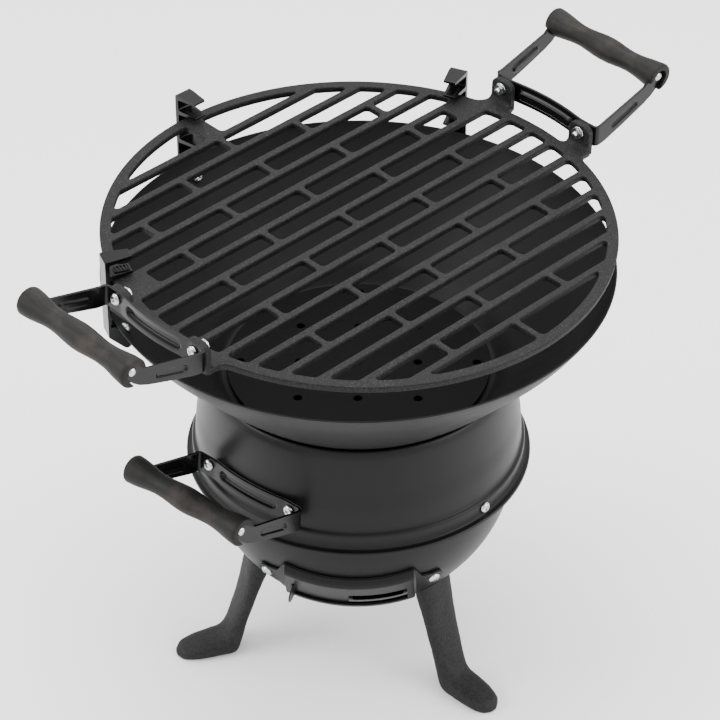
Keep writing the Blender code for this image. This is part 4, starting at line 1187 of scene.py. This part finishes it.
def make_vent_frame(finish):
    right, left = vent_columns()
    columns = right + left
    points, normals = [], []
    for degrees in columns:
        low, high = frame_edges(degrees)
        column, facings = [], []
        for mark in FRAME_ROWS:
            height = low + mark * (high - low)
            rest = math.sqrt((SPHERE_RADIUS + 0.0014) ** 2 - height ** 2)
            ends = smooth((FRAME_END - abs(degrees)) / 1.3)
            side = min(1.0, max(0.0, min(mark / 0.055, (1.0 - mark) / 0.09)))
            radius = rest + (PLATEAU - rest) * min(ends, side ** 0.7)
            column.append(radial(degrees, radius, height))
            facings.append(radial(degrees, 1.0, 0.0))
        points.append(column)
        normals.append(facings)

    def keep(i, j):
        inside = abs(columns[i]) <= WINDOW_SIDE + 1e-6 and abs(columns[i + 1]) <= WINDOW_SIDE + 1e-6
        return not (inside and WINDOW_ROWS[0] <= j < WINDOW_ROWS[1])

    made = to_object("vent_frame_pressing", sheet(points, normals, SHEET, keep, 0.00025), finish, VENT, 35)
    put(made, "stand", "satin_black", "vent_frame")


def make_vent_door(finish):
    columns = [-0.4 - 21.2 * i / 30 for i in range(31)]
    heights = [-0.0142 + 0.0244 * j / 8 for j in range(9)]
    points = [[radial(d, 0.11525, h) for h in heights] for d in columns]
    normals = [[radial(d, 1.0, 0.0) for _ in heights] for d in columns]
    made = to_object("vent_door_sheet", sheet(points, normals, SHEET, None, 0.00025), finish, None, 35)
    side = [(0.1154, -0.0108), (0.1195, -0.0108), (0.1240, -0.0100), (0.1266, -0.0082), (0.1273, -0.0055),
            (0.1272, -0.0020), (0.1256, 0.0020), (0.1225, 0.0048), (0.1185, 0.0060), (0.1154, 0.0060)]
    half = 0.0005  # of the tab's thickness
    tab = prism(rounded([(*p, 0.002) for p in side], 3), -half, half, around_z(TAB_ANGLE) @ UPRIGHT)
    combine(made, tab, "UNION", 35)
    made.data.transform(VENT)
    put(made, "vent_door", "satin_black", "vent_door")


# ---- studio


AWAY = radial(45.6, 1, 0)  # level way in which the camera looks
RIGHT = radial(-44.4, 1, 0)


def aim(made, direction):
    made.rotation_mode = "QUATERNION"
    made.rotation_quaternion = direction.to_track_quat("-Z", "Y")


def area_light(name, place, size, power):
    """Square light that looks at the middle of the body."""
    data = bpy.data.lights.new(name, "AREA")
    data.shape = "RECTANGLE"
    data.size = size
    data.size_y = size
    data.energy = power
    made = add_object(name, data)
    made.location = place
    aim(made, Vector((0, 0, 0.22)) - place)


def make_studio():
    disc = lathe([(0, 0), (6.0, 0), (6.0, -0.01), (0, -0.01)], 64)
    n = Nodes("studio_floor")
    tone = n.ramp(n.noise(2.0, 2.0, 0.5), [(0.3, grey(0.86)), (0.7, grey(0.88))])
    finish = n.finish(tone, Roughness=0.9)
    floor = to_object("studio_floor", disc, finish, Matrix.Translation((0, 0, -0.0002)))
    world = bpy.data.worlds.new("studio")
    bpy.context.scene.world = world
    world.use_nodes = True
    world.node_tree.nodes["Background"].inputs["Color"].default_value = (1.0, 1.0, 1.0, 1.0)
    world.node_tree.nodes["Background"].inputs["Strength"].default_value = 1.9
    area_light("key", -1.5 * RIGHT - 0.3 * AWAY + Vector((0, 0, 1.1)), 0.9, 26)
    area_light("fill", 1.4 * RIGHT - 0.5 * AWAY + Vector((0, 0, 0.9)), 1.1, 22)
    area_light("top", 0.4 * AWAY + Vector((0, 0, 1.9)), 1.3, 44)


def make_camera():
    """Camera on the side of the body handle, looking down at the vent."""
    elevation = math.radians(37.38)
    distance = 12.5 * R
    target = RIGHT * 0.006 * R + Vector((0, 0, level(-0.6616)))
    back = -AWAY * math.cos(elevation) + Vector((0, 0, math.sin(elevation)))
    data = bpy.data.cameras.new("camera")
    data.sensor_width = 36.0
    data.lens = 156.9
    camera = add_object("camera", data)
    camera.location = target + back * distance
    aim(camera, -back)
    bpy.context.scene.camera = camera


# ---- assembly


def main():
    iron = cast_iron()
    body_paint = satin_paint("satin_black", 0.003, 0.34, 0.44)
    gloss = gloss_black()
    grip = grip_finish()
    zinc = zinc_plate()
    make_camera()
    make_studio()
    make_grate(iron)
    for prefix, (place, body, _) in HANDLES.items():
        make_bracket(prefix, place, body, gloss)
        make_grip(prefix, place, body, grip)
        make_rod(prefix, place, body, zinc)
    make_fasteners(zinc)
    make_fire_bowl(satin_paint("bowl_black", 0.005, 0.42, 0.54, 0.16))
    make_upper_shell(body_paint)
    make_lower_bowl(body_paint)
    make_charcoal_plate(satin_paint("plate_black", 0.003, 0.50, 0.60, 0.06))
    make_supports(gloss)
    make_legs(leg_iron())
    make_vent_frame(body_paint)
    make_vent_door(satin_paint("door_black", 0.005, 0.34, 0.44))


main()
